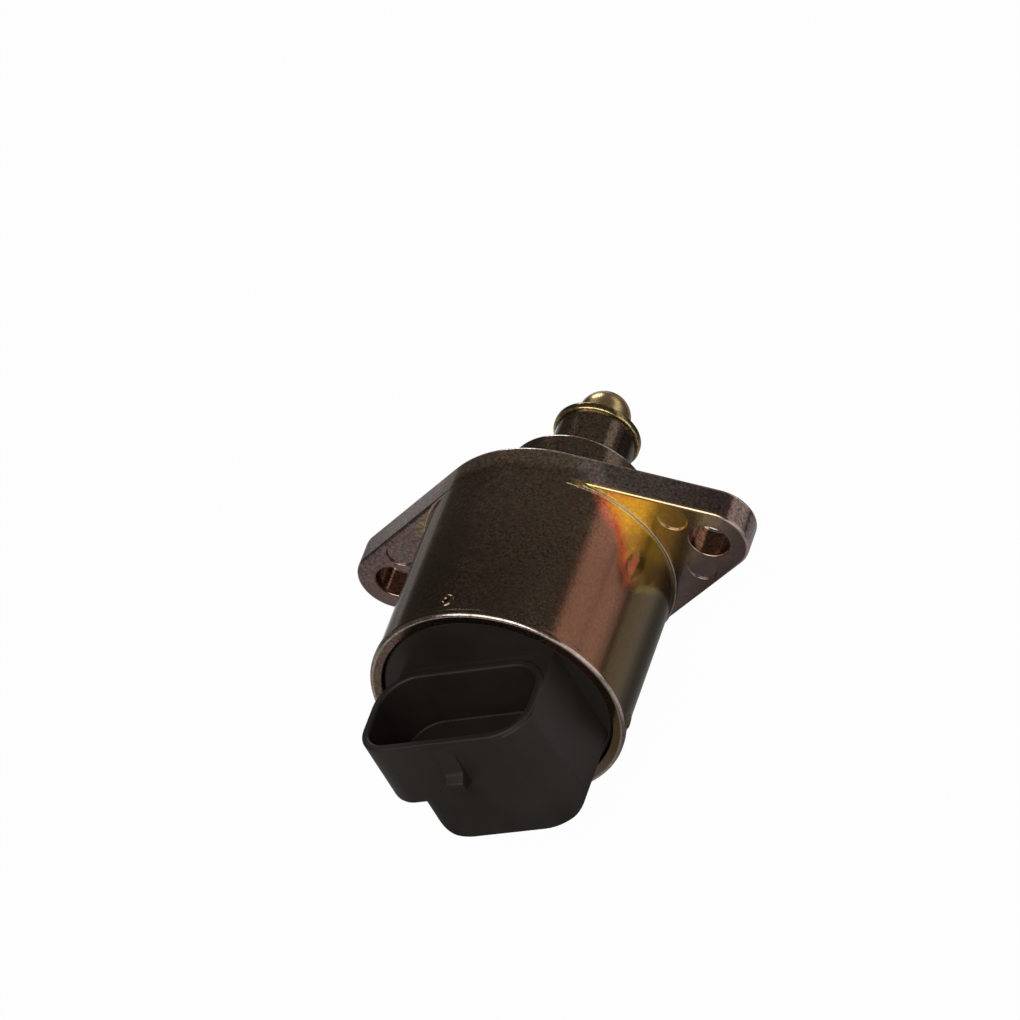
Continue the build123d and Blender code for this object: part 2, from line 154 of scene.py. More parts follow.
class ConnectorSizes(bpy.types.PropertyGroup):
    """Sizes of the moulded cap and its socket."""
    disc_radius: size("Disc radius", "Radius of the disc that closes the can", 15.9)
    disc_front: size("Disc front", "Mounting face to the disc's front", 25.8)
    disc_rear: size("Disc rear", "Mounting face to the disc's rear", 31.1)
    disc_chamfer: size("Disc chamfer", "Broken edge of the disc", 0.3)
    stake_groove_rear: size("Stake groove rear", "Mounting face to the rear of the stakes' groove", 29.2)
    stake_groove_front: size("Stake groove front", "Mounting face to the front of the stakes' groove", 27.8)
    stake_groove_depth: size("Stake groove depth", "Depth of the stakes' groove", 0.6)
    seal_groove_front: size("Cap seal groove front", "Mounting face to the front of the seal's groove", 26.3)
    seal_groove_depth: size("Cap seal groove depth", "Depth of the seal's groove", 1.25)
    wiring_wall: size("Wiring wall", "Disc's edge to the wiring space", 2.3)
    wiring_depth: size("Wiring depth", "Depth of the wiring space", 1.4)
    wiring_inner: size("Wiring inner radius", "Inner radius of the wiring space", 5.4)
    bush_radius: size("Bush seat radius", "Radius of the rear bush's seat", 4.0)
    bush_seat: size("Bush seat", "Mounting face to the end of the bush's seat", 29.8)
    tail_radius: size("Tail room radius", "Radius of the room for the hub's tail", 2.6)
    tail_room: size("Tail room", "Mounting face to the end of the room for the hub's tail", 30.2)
    mouth: size("Socket mouth", "Axis to the socket's rim", 8.75)
    depth: size("Socket depth", "Depth of the socket's pocket", 8.75)
    rim_stand: size("Rim stand", "How far the socket's rim stands above the block", 0.35)
    foot: size("Socket foot", "Axis to the underside of the socket's overhang", 2.45)
    width: size("Socket width", "Outer width of the socket", 26.0)
    front: size("Socket front", "Mounting face to the socket's front wall", 32.1)
    rear: size("Socket rear", "Mounting face to the socket's rear wall", 46.25)
    corner: size("Socket corner", "Outer corner radius of the socket", 5.7)
    tight_corner: size("Tight corner", "Outer radius of the socket's rear left corner", 4.2)
    wall: size("Socket wall", "Wall of the socket", 1.1)
    mouth_round: size("Mouth rounding", "Rounding of the socket's rim", 0.35)
    foot_round: size("Foot rounding", "Rounding under the overhang", 1.2)
    well_width: size("Well width", "Width of the well round the blades", 19.2)
    well_height: size("Well height", "Height of the well round the blades", 4.5)
    well_depth: size("Well depth", "Depth of the well round the blades", 1.6)
    block_left: size("Block left", "Axis to the block's left side", 8.6)
    block_foot: size("Block foot", "Axis to the block's lower face", 9.3)
    block_corner: size("Block corner", "Radius of the block's rear left upright corner", 3.2)
    block_draft: size("Block draft", "How much further out the block's side is at its foot", 0.3)
    foot_left: size("Left foot corner", "Radius of the block's lower left corner", 5.2)
    foot_right: size("Right foot corner", "Radius of the block's lower right corner", 2.0)
    block_round: size("Block rounding", "Rounding of the rear edge round the block's foot", 0.8)
    pedestal_left: size("Pedestal left", "Axis to the left side of the web behind the disc", 10.5)
    latch_width: size("Latch width", "Width of the latch rib", 2.8)
    latch_height: size("Latch height", "How far the catch stands out", 1.98)
    latch_rib: size("Rib height", "How far the slow rib above the catch stands out at its end", 0.5)
    latch_top: size("Latch top", "Axis to the start of the rib", 7.4)
    latch_start: size("Catch start", "Axis to the place where the rib turns out into the catch", 3.4)
    latch_crest: size("Latch crest", "Axis to the top of the catch", 2.6)
    latch_foot: size("Latch foot", "Axis to the underside of the catch", 1.0)
    blade_pitch: size("Blade pitch", "Distance between two blades", 4.4)
    blade_width: size("Blade width", "Width of a blade", 1.5)
    blade_stock: size("Blade stock", "Thickness of a blade", 0.8)
    blade_tip: size("Blade tip", "Axis to the blades' tips", 2.2)
    blade_taper: size("Blade taper", "Length of the tapered tip", 0.9)
    blade_round: size("Blade rounding", "Rounding of a blade's edges", 0.08)
    leg_drop: size("Leg drop", "Axis to the row of the blades' legs", 7.0)
    leg_end: size("Leg end", "Mounting face to the legs' ends", 26.4)


class PlungerSizes(bpy.types.PropertyGroup):
    """Sizes of the pintle, its guide and the mounting seal."""
    radius: size("Pintle radius", "Radius of the pintle", 3.75)
    tip: size("Pintle tip", "Mounting face to the pintle's tip", 26.6)
    rear: size("Pintle rear", "Mounting face to the pintle's rear", 14.0)
    bore: size("Pintle bore", "Radius of the bore for the screw", 2.0)
    bore_depth: size("Pintle bore depth", "Depth of the bore for the screw", 7.0)
    guide_front: size("Guide front", "Mounting face to the guide's front", 19.4)
    guide_length: size("Guide length", "Length of the guide", 4.0)
    guide_gap: size("Guide gap", "Running gap round the pintle", 0.05)
    seal_section: size("Seal section", "Thickness of the mounting seal", 1.8)
    seal_outer: size("Seal outer radius", "Outer radius of the mounting seal", 10.52)


class ValveColours(bpy.types.PropertyGroup):
    """Colours of the finishes."""
    # Gold is the ears' own film, and it also paints the ear's reflection in the can.
    plating_gold: colour("Plating gold", "Gold film at the ears' root", 0.98, 0.67, 0.18)
    # Red paints the reflections in the can: the gold patch's fringe and the bolt hole's reflection.
    painted_reflection_red: colour("Plating red", "Reddish fringe of the gold film", 0.80, 0.17, 0.10)
    # Pale worn metal, which also paints the highlight lines on the edges.
    worn_highlight_metal: colour("Plating worn", "Bare metal on the worn edges", 0.66, 0.54, 0.47)
    # The next three colours only paint the ear's reflection in the can.
    ear_reflection_bronze: colour("Plating bronze", "Dark lower end of the gold patch", 0.32, 0.22, 0.08)
    ear_reflection_straw: colour("Plating straw", "Greenish gold in the gold patch", 0.60, 0.46, 0.11)
    ear_reflection_amber: colour("Plating amber", "Warm gold in the gold patch", 0.80, 0.54, 0.16)
    plating_tan: colour("Plating tan", "Tan turn of the film on the ears", 0.50, 0.35, 0.16)
    plating_nose: colour("Plating nose", "Film on the nose rim", 0.26, 0.18, 0.08)
    # Paler gold on the nose rim's edge: wear and painted highlight.
    nose_edge_highlight: colour("Plating nose edge", "Worn edge of the nose rim", 0.64, 0.50, 0.24)
    plating_orange: colour("Plating orange", "Orange turn of the film on the ears", 0.58, 0.37, 0.17)
    # Olive and mauve are film tints painted in bands round the can where it mirrors the floor; mauve, dimmed,
    # also paints shade in the bolt holes.
    painted_olive_band: colour("Plating olive", "Greenish turn of the film", 0.175, 0.115, 0.05)
    painted_mauve: colour("Plating mauve", "Pinkish turn of the film", 0.235, 0.108, 0.066)
    plating_brown: colour("Plating brown", "Brown film over most of the can", 0.27, 0.19, 0.135)
    plating_violet: colour("Plating violet", "Dull violet film at the ears' ends", 0.24, 0.165, 0.15)
    plating_grey: colour("Plating grey", "Greyish film on the flange's side", 0.38, 0.29, 0.26)
    plastic: colour("Cap plastic", "Black moulded plastic", 0.016, 0.0125, 0.0105)
    brass: colour("Brass", "Turned brass of the pintle", 0.78, 0.56, 0.28)
    rubber: colour("Rubber", "Black seal rubber", 0.012, 0.012, 0.013)


class StageSettings(bpy.types.PropertyGroup):
    """Camera and light."""
    azimuth: FloatProperty(name="Azimuth", description="Camera's turn round the upright axis",
                           default=radians(37.596), subtype="ANGLE")
    elevation: FloatProperty(name="Elevation", description="Camera's height above the horizon",
                             default=radians(35.917), subtype="ANGLE")
    roll: FloatProperty(name="Roll", description="Camera's turn about its own line of sight",
                        default=radians(-31.908), subtype="ANGLE")
    distance: size("Distance", "Camera to the point it aims at", 1035.6)
    focal_length: FloatProperty(name="Focal length", description="Camera lens in millimetres",
                                default=268.0, unit="CAMERA")
    aim: spot("Aim", "Point that the camera looks at", -5.42, 0.766, 5.40)
    key_place: spot("Key place", "Place of the wide soft light above", 50, -400, 450)
    key_width: size("Key width", "Width of the wide soft light", 750)
    key_height: size("Key height", "Height of the wide soft light", 500)
    key_power: FloatProperty(name="Key power", description="Power of the wide soft light above",
                             default=2.4, unit="POWER")
    back_place: spot("Back place", "Place of the soft light beyond the nose", -220, 550, 250)
    back_width: size("Back width", "Width and height of the soft light beyond the nose", 220)
    back_power: FloatProperty(name="Back power", description="Power of the soft light beyond the nose",
                              default=0.6, unit="POWER")


def round_corners(bm, corners, steps=ROUND_STEPS):
    """Rounds the corners of a flat outline, given as (vertex, rounding) pairs."""
    for corner, rounding in corners:
        if rounding:
            bmesh.ops.bevel(bm, geom=[corner], offset=rounding, offset_type="OFFSET", segments=steps,
                            profile=0.5, affect="VERTICES", material=-1)


def round_edges(bm, edges, rounding, steps=ROUND_STEPS):
    """Rounds the given edges of a solid."""
    bmesh.ops.bevel(bm, geom=list(edges), offset=rounding, offset_type="OFFSET", segments=steps,
                    profile=0.5, affect="EDGES", material=-1, clamp_overlap=True)


def close_up(bm):
    """Welds the seams and poles of a closed mesh and points its faces outwards."""
    bmesh.ops.remove_doubles(bm, verts=bm.verts, dist=WELD)
    bmesh.ops.delete(bm, geom=[edge for edge in bm.edges if edge.is_wire], context="EDGES")
    bmesh.ops.recalc_face_normals(bm, faces=bm.faces)


def turned(points, steps=TURN_STEPS, round_steps=ROUND_STEPS):
    """Closed outline of (radius, station, rounding) points turned about the valve's axis."""
    bm = bmesh.new()
    corners = [bm.verts.new((radius, station, 0)) for radius, station, _ in points]
    bm.faces.new(corners)
    round_corners(bm, list(zip(corners, [point[2] for point in points])), round_steps)
    bmesh.ops.delete(bm, geom=bm.faces[:], context="FACES_ONLY")
    bmesh.ops.spin(bm, geom=bm.verts[:] + bm.edges[:], cent=(0, 0, 0), axis=AXIS, dvec=(0, 0, 0),
                   angle=2 * pi, steps=steps, use_merge=True)
    close_up(bm)
    return bm


def raised(bm, shift):
    """Extrudes the flat outline in bm into a solid."""
    grown = bmesh.ops.extrude_face_region(bm, geom=bm.faces[:])["geom"]
    top = [item for item in grown if isinstance(item, bmesh.types.BMVert)]
    bmesh.ops.translate(bm, verts=top, vec=shift)
    bmesh.ops.recalc_face_normals(bm, faces=bm.faces)


def drawn_up(bm):
    """Extrudes the highest face in place and returns the new face's vertices."""
    top = max(bm.faces, key=lambda face: face.calc_center_median().z)
    grown = bmesh.ops.extrude_face_region(bm, geom=[top])["geom"]
    bmesh.ops.delete(bm, geom=[top], context="FACES_ONLY")
    return [item for item in grown if isinstance(item, bmesh.types.BMVert)]


def slab(left, right, front, rear, low, high, corners, steps=8):
    """Upright block with its four upright corners rounded: front left, front right, rear right, rear left."""
    bm = bmesh.new()
    places = [(left, front), (right, front), (right, rear), (left, rear)]
    verts = [bm.verts.new((x, y, low)) for x, y in places]
    bm.faces.new(verts)
    round_corners(bm, list(zip(verts, corners)), steps)
    raised(bm, (0, 0, high - low))
    return bm


def level_edges(bm, axis, place):
    """Edges that lie in the plane across an axis at a place."""
    return [edge for edge in bm.edges if all(abs(vert.co[axis] - place) < WELD for vert in edge.verts)]


def moved(bm, matrix):
    bmesh.ops.transform(bm, matrix=matrix, verts=bm.verts)
    return bm


def gathered(*parts):
    """One mesh that holds several separate solids."""
    whole = bmesh.new()
    for part in parts:
        mesh = bpy.data.meshes.new("part")
        part.to_mesh(mesh)
        part.free()
        whole.from_mesh(mesh)
        bpy.data.meshes.remove(mesh)
    return whole


def combined(base, tool, operation):
    """Joins, cuts or crosses two solids and returns the result."""
    objects = []
    for bm in (base, tool):
        mesh = bpy.data.meshes.new("solid")
        bm.to_mesh(mesh)
        bm.free()
        objects.append(bpy.data.objects.new("solid", mesh))
        bpy.context.scene.collection.objects.link(objects[-1])
    modifier = objects[0].modifiers.new("join", "BOOLEAN")
    modifier.operation = operation
    modifier.solver = "EXACT"
    modifier.object = objects[1]
    graph = bpy.context.evaluated_depsgraph_get()
    mesh = bpy.data.meshes.new_from_object(objects[0].evaluated_get(graph))
    result = bmesh.new()
    result.from_mesh(mesh)
    bpy.data.meshes.remove(mesh)
    for piece in objects:
        mesh = piece.data
        bpy.data.objects.remove(piece)
        bpy.data.meshes.remove(mesh)
    if not result.faces:
        raise RuntimeError("two solids left nothing when they were combined")
    bmesh.ops.remove_doubles(result, verts=result.verts, dist=WELD)
    bmesh.ops.dissolve_degenerate(result, edges=result.edges, dist=WELD / 2)
    return result


def make_piece(name, bm, material, body, slot, *nodes):
    """Turns a closed mesh into a piece that rides on a body and stands for CAD nodes."""
    close_up(bm)
    if not all(edge.is_manifold for edge in bm.edges):
        raise RuntimeError(f"{name} isn't closed")
    mesh = bpy.data.meshes.new(name)
    bm.to_mesh(mesh)
    bm.free()
    mesh.materials.append(material)
    mesh.shade_smooth()
    mesh.set_sharp_from_angle(angle=SHARP_ANGLE)
    piece = bpy.data.objects.new(name, mesh)
    bpy.context.scene.collection.objects.link(piece)
    piece.modifiers.new("even faces", "WEIGHTED_NORMAL").keep_sharp = True
    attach(piece, body)
    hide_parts(*nodes)


def node(tree, kind, inputs=None, **settings):
    """Adds a shader node; an input may be a value or another node's output."""
    made = tree.nodes.new(kind)
    for key, value in settings.items():
        setattr(made, key, value)
    for key, value in (inputs or {}).items():
        if isinstance(value, bpy.types.NodeSocket):
            tree.links.new(value, made.inputs[key])
        else:
            made.inputs[key].default_value = value
    return made


def new_finish(name, **constants):
    """Empty material with its shader and the place on the piece. Constants go on the shader's own sockets."""
    material = bpy.data.materials.new(name)
    material.use_nodes = True
    tree = material.node_tree
    shader = tree.nodes["Principled BSDF"]
    for key, value in constants.items():
        shader.inputs[key.replace("_", " ")].default_value = value
    place = node(tree, "ShaderNodeTexCoord").outputs["Object"]
    return material, tree, shader, place


def speckle(tree, place, scale, detail, output="Fac"):
    """Plain noise in the piece's own space; scale is in grains a metre."""
    return node(tree, "ShaderNodeTexNoise", {"Vector": place, "Scale": scale, "Detail": detail,
                                             "Roughness": 0.6}).outputs[output]


def sums(tree, operation, first, second=0.0, third=0.0, clamp=False):
    return node(tree, "ShaderNodeMath", {0: first, 1: second, 2: third}, operation=operation,
                use_clamp=clamp).outputs[0]


def times(tree, first, second):
    return sums(tree, "MULTIPLY", first, second)


def spread(tree, value, low, high, to_low=0.0, to_high=1.0):
    """Maps a range of values to another, held at its ends."""
    return node(tree, "ShaderNodeMapRange", {"Value": value, "From Min": low, "From Max": high,
                                             "To Min": to_low, "To Max": to_high}).outputs["Result"]


def shades(tree, value, stops):
    """Colour ramp through (place, colour) stops."""
    ramp = node(tree, "ShaderNodeValToRGB", {"Fac": value})
    band = ramp.color_ramp
    while len(band.elements) < len(stops):
        band.elements.new(0.5)
    for element, (place, tint) in zip(band.elements, stops):
        element.position = place
        element.color = (*tint, 1.0)
    return ramp.outputs["Color"]


def banded(tree, value, span, stops, unit):
    """Colour ramp over a span, through (measure, colour) stops in the same unit."""
    low, high = span
    places = [((measure - low) / (high - low), tint) for measure, tint in stops]
    return shades(tree, spread(tree, value, low * unit, high * unit), places)


def mixed(tree, factor, first, second, blend="MIX"):
    made = node(tree, "ShaderNodeMix", {"Factor": factor}, data_type="RGBA", blend_type=blend)
    for socket, value in ((made.inputs[6], first), (made.inputs[7], second)):
        if isinstance(value, bpy.types.NodeSocket):
            tree.links.new(value, socket)
        else:
            socket.default_value = (*value, 1.0)
    return made.outputs[2]


def tinted(tree, first, second):
    """Colour multiplied by another colour or by a brightness."""
    return mixed(tree, 1.0, first, second, "MULTIPLY")


def dimmed(tint, share):
    return [share * part for part in tint]


def grey(level):
    return (level, level, level)


def roughen(tree, shader, height, strength, depth):
    """Bump on a shader; depth is the real depth of the relief."""
    bump = node(tree, "ShaderNodeBump", {"Height": height, "Strength": strength, "Distance": depth})
    tree.links.new(bump.outputs["Normal"], shader.inputs["Normal"])


class CastingPlace:
    """Where a point of the film lies on the casting, and the noise that the film drifts with."""

    def __init__(self, tree, place):
        self.tree = tree
        self.x, self.y, self.z = node(tree, "ShaderNodeSeparateXYZ", {"Vector": place}).outputs
        across = node(tree, "ShaderNodeVectorMath", {0: place, 1: (1, 0, 1)}, operation="MULTIPLY").outputs[0]
        self.radius = node(tree, "ShaderNodeVectorMath", {0: across}, operation="LENGTH").outputs["Value"]
        self.turn = sums(tree, "ARCTAN2", self.z, self.x)
        self.clouds = speckle(tree, place, 130.0, 3.0)
        self.patches = speckle(tree, place, 520.0, 3.0)
        self.drift = sums(tree, "MULTIPLY_ADD", self.clouds, 0.9,
                          sums(tree, "MULTIPLY_ADD", self.patches, 0.35, -0.625))
        self.grain = speckle(tree, place, 2600.0, 2.0)
        self.flecks = speckle(tree, place, 2300.0, 2.0, "Color")

    def arc(self, start, stop, *ends):
        """Fades from one angle round the can to another, in degrees."""
        return spread(self.tree, self.turn, start * DEGREE, stop * DEGREE, *ends)

    def along(self, start, stop, *ends):
        """Fades from one station on the axis to another."""
        return spread(self.tree, self.y, start, stop, *ends)

    def beyond(self, radius, soft=0.2 * MM):
        """Mask of what lies further out than a radius."""
        return spread(self.tree, self.radius, radius, radius + soft)

    def drifted(self, value, amount):
        return sums(self.tree, "MULTIPLY_ADD", self.drift, amount, value)


def between(tree, value, low, high, soft=0.08 * MM):
    """Mask of what lies between two values."""
    return times(tree, spread(tree, value, low, low + soft), spread(tree, value, high, high - soft))


def can_film_with_painted_reflections(at, colours):
    """Film on the can, banded round it as painted reflection: olive low on the right and a mauve band above
    it, where the can mirrors the floor, then brown that darkens to the rear.
    """
    tree = at.tree
    # Bands by angle round the can paint the floor's reflection into the film colour.
    film = banded(tree, at.drifted(at.turn, 0.10), (-60, 120), (
        (-60, colours.plating_brown), (-38.4, colours.painted_olive_band), (8.04, colours.painted_olive_band),
        (12, colours.painted_mauve), (38.1, colours.painted_mauve), (43.5, colours.plating_brown),
        (120, colours.plating_brown)), DEGREE)
    dull = spread(tree, at.drifted(at.y, 6.0 * MM), -12.0 * MM, -24.0 * MM, 0.96, 0.72)
    film = mixed(tree, at.arc(50, 66), film, tinted(tree, film, dull))
    return tinted(tree, film, at.along(-16.0 * MM, -10.0 * MM, 1.0, 1.15))


def ear_reflection_reach(at):
    """How far a point of the can lies inside the gold patch at the root of the right ear, the painted
    reflection of that ear.
    """
    depth = banded(at.tree, at.turn, EAR_REFLECTION_SPAN, [(angle, grey(depth / EAR_REFLECTION_DEEPEST))
                                                  for angle, depth in EAR_REFLECTION_DEPTH], DEGREE)
    return sums(at.tree, "MULTIPLY_ADD", depth, EAR_REFLECTION_DEEPEST * MM, at.drifted(at.y, 3.0 * MM))


def painted_ear_reflection(at, reach, film, colours):
    """Painted reflection of the right ear: a gold patch over the can's film, red at its fringe."""
    tree = at.tree
    gold = banded(tree, at.turn, (-10, 35), (
        (-10, colours.ear_reflection_bronze), (8, colours.ear_reflection_straw), (17.9, colours.ear_reflection_amber),
        (26, colours.plating_gold)), DEGREE)
    fringe = times(tree, spread(tree, reach, 3.6 * MM, 0.2 * MM), at.arc(5, 15))
    patch = mixed(tree, fringe, gold, colours.painted_reflection_red)
    return mixed(tree, spread(tree, reach, -1.6 * MM, 1.0 * MM), film, patch)


def nose_film_and_painted_shade(at, body, film, colours):
    """Brown film on what stands ahead of the flange's rear face, dimmed to half below 36 degrees round the
    axis as painted shade over the light band that the collar and neck mirror, and a yellower one on the nose
    rim.
    """
    rear, shoulder = -body.flange_thickness, body.nose_length - body.nose_rim
    # Half as bright below 36 degrees round the axis: painted shade.
    brown = mixed(at.tree, at.arc(36, 46), dimmed(colours.plating_brown, 0.5), colours.plating_brown)
    film = mixed(at.tree, at.along(rear + 0.3 * MM, rear + 0.6 * MM), film, brown)
    return mixed(at.tree, at.along(shoulder - 0.1 * MM, shoulder), film, colours.plating_nose)


def ear_film_and_painted_shade(at, body, colours):
    """Film on the ears' rear face: gold beside the can on the right, violet at the ends and on the left,
    darker violet towards the bottom as painted shade, and lighter towards the right ear's tip.
    """
    tree = at.tree
    film = spread(tree, at.radius, body.can_radius, body.can_radius + 11.0 * MM, 0.0, 0.55)
    # Lower on the ears the film turns darker violet: painted shade.
    film = sums(tree, "ADD", film, spread(tree, at.z, 8.5 * MM, -3.0 * MM, 0.0, 0.5))
    film = sums(tree, "ADD", film, spread(tree, at.z, -2.0 * MM, -7.0 * MM, 0.0, 0.35))
    film = at.drifted(film, 0.40)
    film = sums(tree, "ADD", film, spread(tree, at.x, -4.0 * MM, 4.0 * MM, 0.7, 0.0), clamp=True)
    gold = dimmed(colours.plating_gold, 0.93)
    tint = shades(tree, film, [(0.0, gold), (0.15, gold), (0.38, colours.plating_orange),
                               (0.58, colours.plating_tan), (0.82, colours.plating_violet),
                               (1.0, colours.plating_violet)])
    return tinted(tree, tint, spread(tree, at.x, 22.0 * MM, 27.0 * MM, 1.0, 1.7))


def flange_film(at, body, film, colours):
    """Greyish film on the flange's side, the ears' own film behind it and a dimmed mauve in the bolt holes as
    painted shade.
    """
    tree, rear = at.tree, -body.flange_thickness
    outside = times(tree, at.beyond(body.can_radius + 0.05 * MM, 0.25 * MM),
                    at.along(rear - 2.6 * MM, rear - 2.0 * MM))
    off_axis = sums(tree, "ABSOLUTE", at.x)
    side = mixed(tree, spread(tree, off_axis, 21.0 * MM, 27.0 * MM), colours.plating_grey,
                 colours.plating_violet)
    film = mixed(tree, times(tree, outside, at.along(-0.05 * MM, -0.25 * MM)), film, side)
    behind = at.along(rear + 0.6 * MM, rear + 0.25 * MM)
    film = mixed(tree, times(tree, outside, behind), film, ear_film_and_painted_shade(at, body, colours))
    hole = node(tree, "ShaderNodeCombineXYZ", {"X": sums(tree, "SUBTRACT", off_axis, body.hole_spacing / 2),
                                               "Z": at.z}).outputs[0]
    from_hole = node(tree, "ShaderNodeVectorMath", {0: hole}, operation="LENGTH").outputs["Value"]
    # The bolt holes' walls get a dimmed mauve: painted shade in the holes.
    in_hole = spread(tree, from_hole, body.hole_radius + 0.3 * MM, body.hole_radius + 0.1 * MM)
    return mixed(tree, in_hole, film, dimmed(colours.painted_mauve, 0.85))


def worn_and_highlit_edges(at, body, film, colours):
    """Bare metal on the edges that rub, pale enough to paint their highlight lines: root ring, ears, flange's
    front, rear rim, collar and nose rim.
    """
    tree, can, rear = at.tree, body.can_radius, -body.flange_thickness
    rim, collar, shoulder = -body.can_length, body.collar_length, body.nose_length - body.nose_rim
    worn_and_highlit = times(tree, between(tree, at.radius, can + 0.20 * MM, can + 0.50 * MM),
                 between(tree, at.y, rear - 0.5 * MM, rear - 0.2 * MM))
    for share, radius, low, high in (
            (0.65, can + 0.6 * MM, rear + 0.02 * MM, rear + 0.24 * MM),    # ears
            (1.0, can - 0.6 * MM, -0.55 * MM, -0.02 * MM),                 # flange's front
            (1.0, can - 0.4 * MM, rim - 0.1 * MM, rim + 0.45 * MM),        # rear rim
            (1.0, body.collar_radius - 0.5 * MM, collar - 0.45 * MM, collar + 0.1 * MM)):
        edge = times(tree, at.beyond(radius), between(tree, at.y, low, high))
        worn_and_highlit = sums(tree, "MAXIMUM", worn_and_highlit, times(tree, edge, share))
    worn_and_highlit = times(tree, worn_and_highlit, spread(tree, at.patches, 0.3, 0.5, 0.55, 0.95))
    # Pale metal on the edges that rub: wear and painted highlight.
    film = mixed(tree, worn_and_highlit, film, colours.worn_highlight_metal)
    # Paler gold round the nose rim's edge: wear and painted highlight.
    nose = times(tree, between(tree, at.y, shoulder - 0.1 * MM, shoulder + 0.35 * MM),
                 at.beyond(body.nose_radius - 0.35 * MM, 0.15 * MM))
    return mixed(tree, nose, film, colours.nose_edge_highlight)


def painted_hole_reflection(at, body):
    """Mask of the painted reflection of the bolt hole's red wall in the gold patch: a long oval along the can
    with a ragged edge.
    """
    tree = at.tree
    angle, half_width = 0.234, 0.9 * MM
    slope = body.can_radius / half_width
    ragged = sums(tree, "SUBTRACT", at.patches, angle * slope + 0.5)
    across = sums(tree, "MULTIPLY_ADD", at.turn, slope, ragged)
    lengthwise = at.along(-14.2 * MM, -8.8 * MM, -1.0, 1.0)
    off = sums(tree, "MULTIPLY_ADD", across, across, times(tree, lengthwise, lengthwise))
    return times(tree, spread(tree, off, 1.0, 0.0), at.beyond(body.can_radius - 0.5 * MM, 0.4 * MM))


def film_grain(at, body, film):
    """Coloured grain, strong on the brown side of the can and on the flange and faint on the rest."""
    tree, rear = at.tree, -body.flange_thickness
    flecks = mixed(tree, 0.68, at.flecks, at.grain)
    flecks = node(tree, "ShaderNodeVectorMath", {0: flecks, 1: (4.4, 4.2, 4.0), 2: (-1.15, -1.05, -0.95)},
                  operation="MULTIPLY_ADD").outputs[0]
    flecks = node(tree, "ShaderNodeVectorMath", {0: flecks, 1: grey(0.25)}, operation="MAXIMUM").outputs[0]
    coarse = times(tree, at.arc(34, 46, 0.32, 1.0), spread(tree, at.clouds, 0.35, 0.6, 0.45, 1.0))
    coarse = sums(tree, "MAXIMUM", coarse, at.along(rear + 0.3 * MM, rear + 0.6 * MM))
    return mixed(tree, coarse, film, tinted(tree, film, flecks))


def plated_finish(body, colours):
    """Yellow-passivated zinc: a thin film, gold at the ears' root, that drifts to mauve, olive and brown,
    with painted reflections, painted shade and painted edge highlights laid over it.
    """
    material, tree, shader, place = new_finish("plated_zinc")
    at = CastingPlace(tree, place)
    reach = ear_reflection_reach(at)
    # Mask of the bolt hole's painted reflection in the can.
    hole_reflection = painted_hole_reflection(at, body)
    # Painted reflection of the right ear, a gold patch, over the can's film.
    film = painted_ear_reflection(at, reach, can_film_with_painted_reflections(at, colours), colours)
    film = nose_film_and_painted_shade(at, body, film, colours)
    film = flange_film(at, body, film, colours)
    film = worn_and_highlit_edges(at, body, film, colours)
    # Red painted reflection of the bolt hole on the can.
    film = mixed(tree, hole_reflection, film, colours.painted_reflection_red)
    film = film_grain(at, body, film)
    # Less metallic where the ear's painted reflection ends, so that its colour shows as paint.
    cloudy = times(tree, between(tree, reach, -1.5 * MM, 3.5 * MM, 1.5 * MM), at.arc(2, 10))
    # Far less metallic over the bolt hole's painted reflection, so that its red shows as paint.
    off_hole_reflection = sums(tree, "MULTIPLY_ADD", hole_reflection, -0.80, 0.96)
    bare = sums(tree, "MULTIPLY_ADD", cloudy, -0.20, off_hole_reflection, clamp=True)
    tree.links.new(film, shader.inputs["Base Color"])
    tree.links.new(bare, shader.inputs["Metallic"])
    tree.links.new(spread(tree, at.patches, 0.3, 0.7, 0.11, 0.18), shader.inputs["Roughness"])
    roughen(tree, shader, at.grain, 0.3, 0.03 * MM)
    return material


def moulded_finish(name, tint, rough=(0.38, 0.52)):
    """Moulded plastic with a faint flow pattern and a fine die texture."""
    material, tree, shader, place = new_finish(name, IOR=1.4, Specular_Tint=(1.0, 0.88, 0.80, 1.0))
    flow = speckle(tree, place, 90.0, 4.0)
    grain = speckle(tree, place, 3200.0, 2.0)
    light = [min(1.0, part * 1.6) for part in tint]
    tree.links.new(mixed(tree, spread(tree, flow, 0.3, 0.7), tint, light), shader.inputs["Base Color"])
    tree.links.new(spread(tree, flow, 0.3, 0.7, *rough), shader.inputs["Roughness"])
    roughen(tree, shader, grain, 0.25, 0.008 * MM)
    return material


def metal_finish(name, tint, shade, rough=(0.22, 0.38), lay=(1200.0, 9000.0, 1200.0)):
    """Worked metal: tool marks that run round the axis, and a cloudy tarnish."""
    material, tree, shader, place = new_finish(name, Metallic=1.0)
    stretched = node(tree, "ShaderNodeMapping", {"Vector": place, "Scale": lay}).outputs[0]
    marks = speckle(tree, stretched, 1.0, 3.0)
    cloud = speckle(tree, place, 260.0, 4.0)
    tree.links.new(mixed(tree, spread(tree, cloud, 0.35, 0.7), tint, shade), shader.inputs["Base Color"])
    tree.links.new(spread(tree, marks, 0.3, 0.7, *rough), shader.inputs["Roughness"])
    roughen(tree, shader, marks, 0.15, 0.006 * MM)
    return material


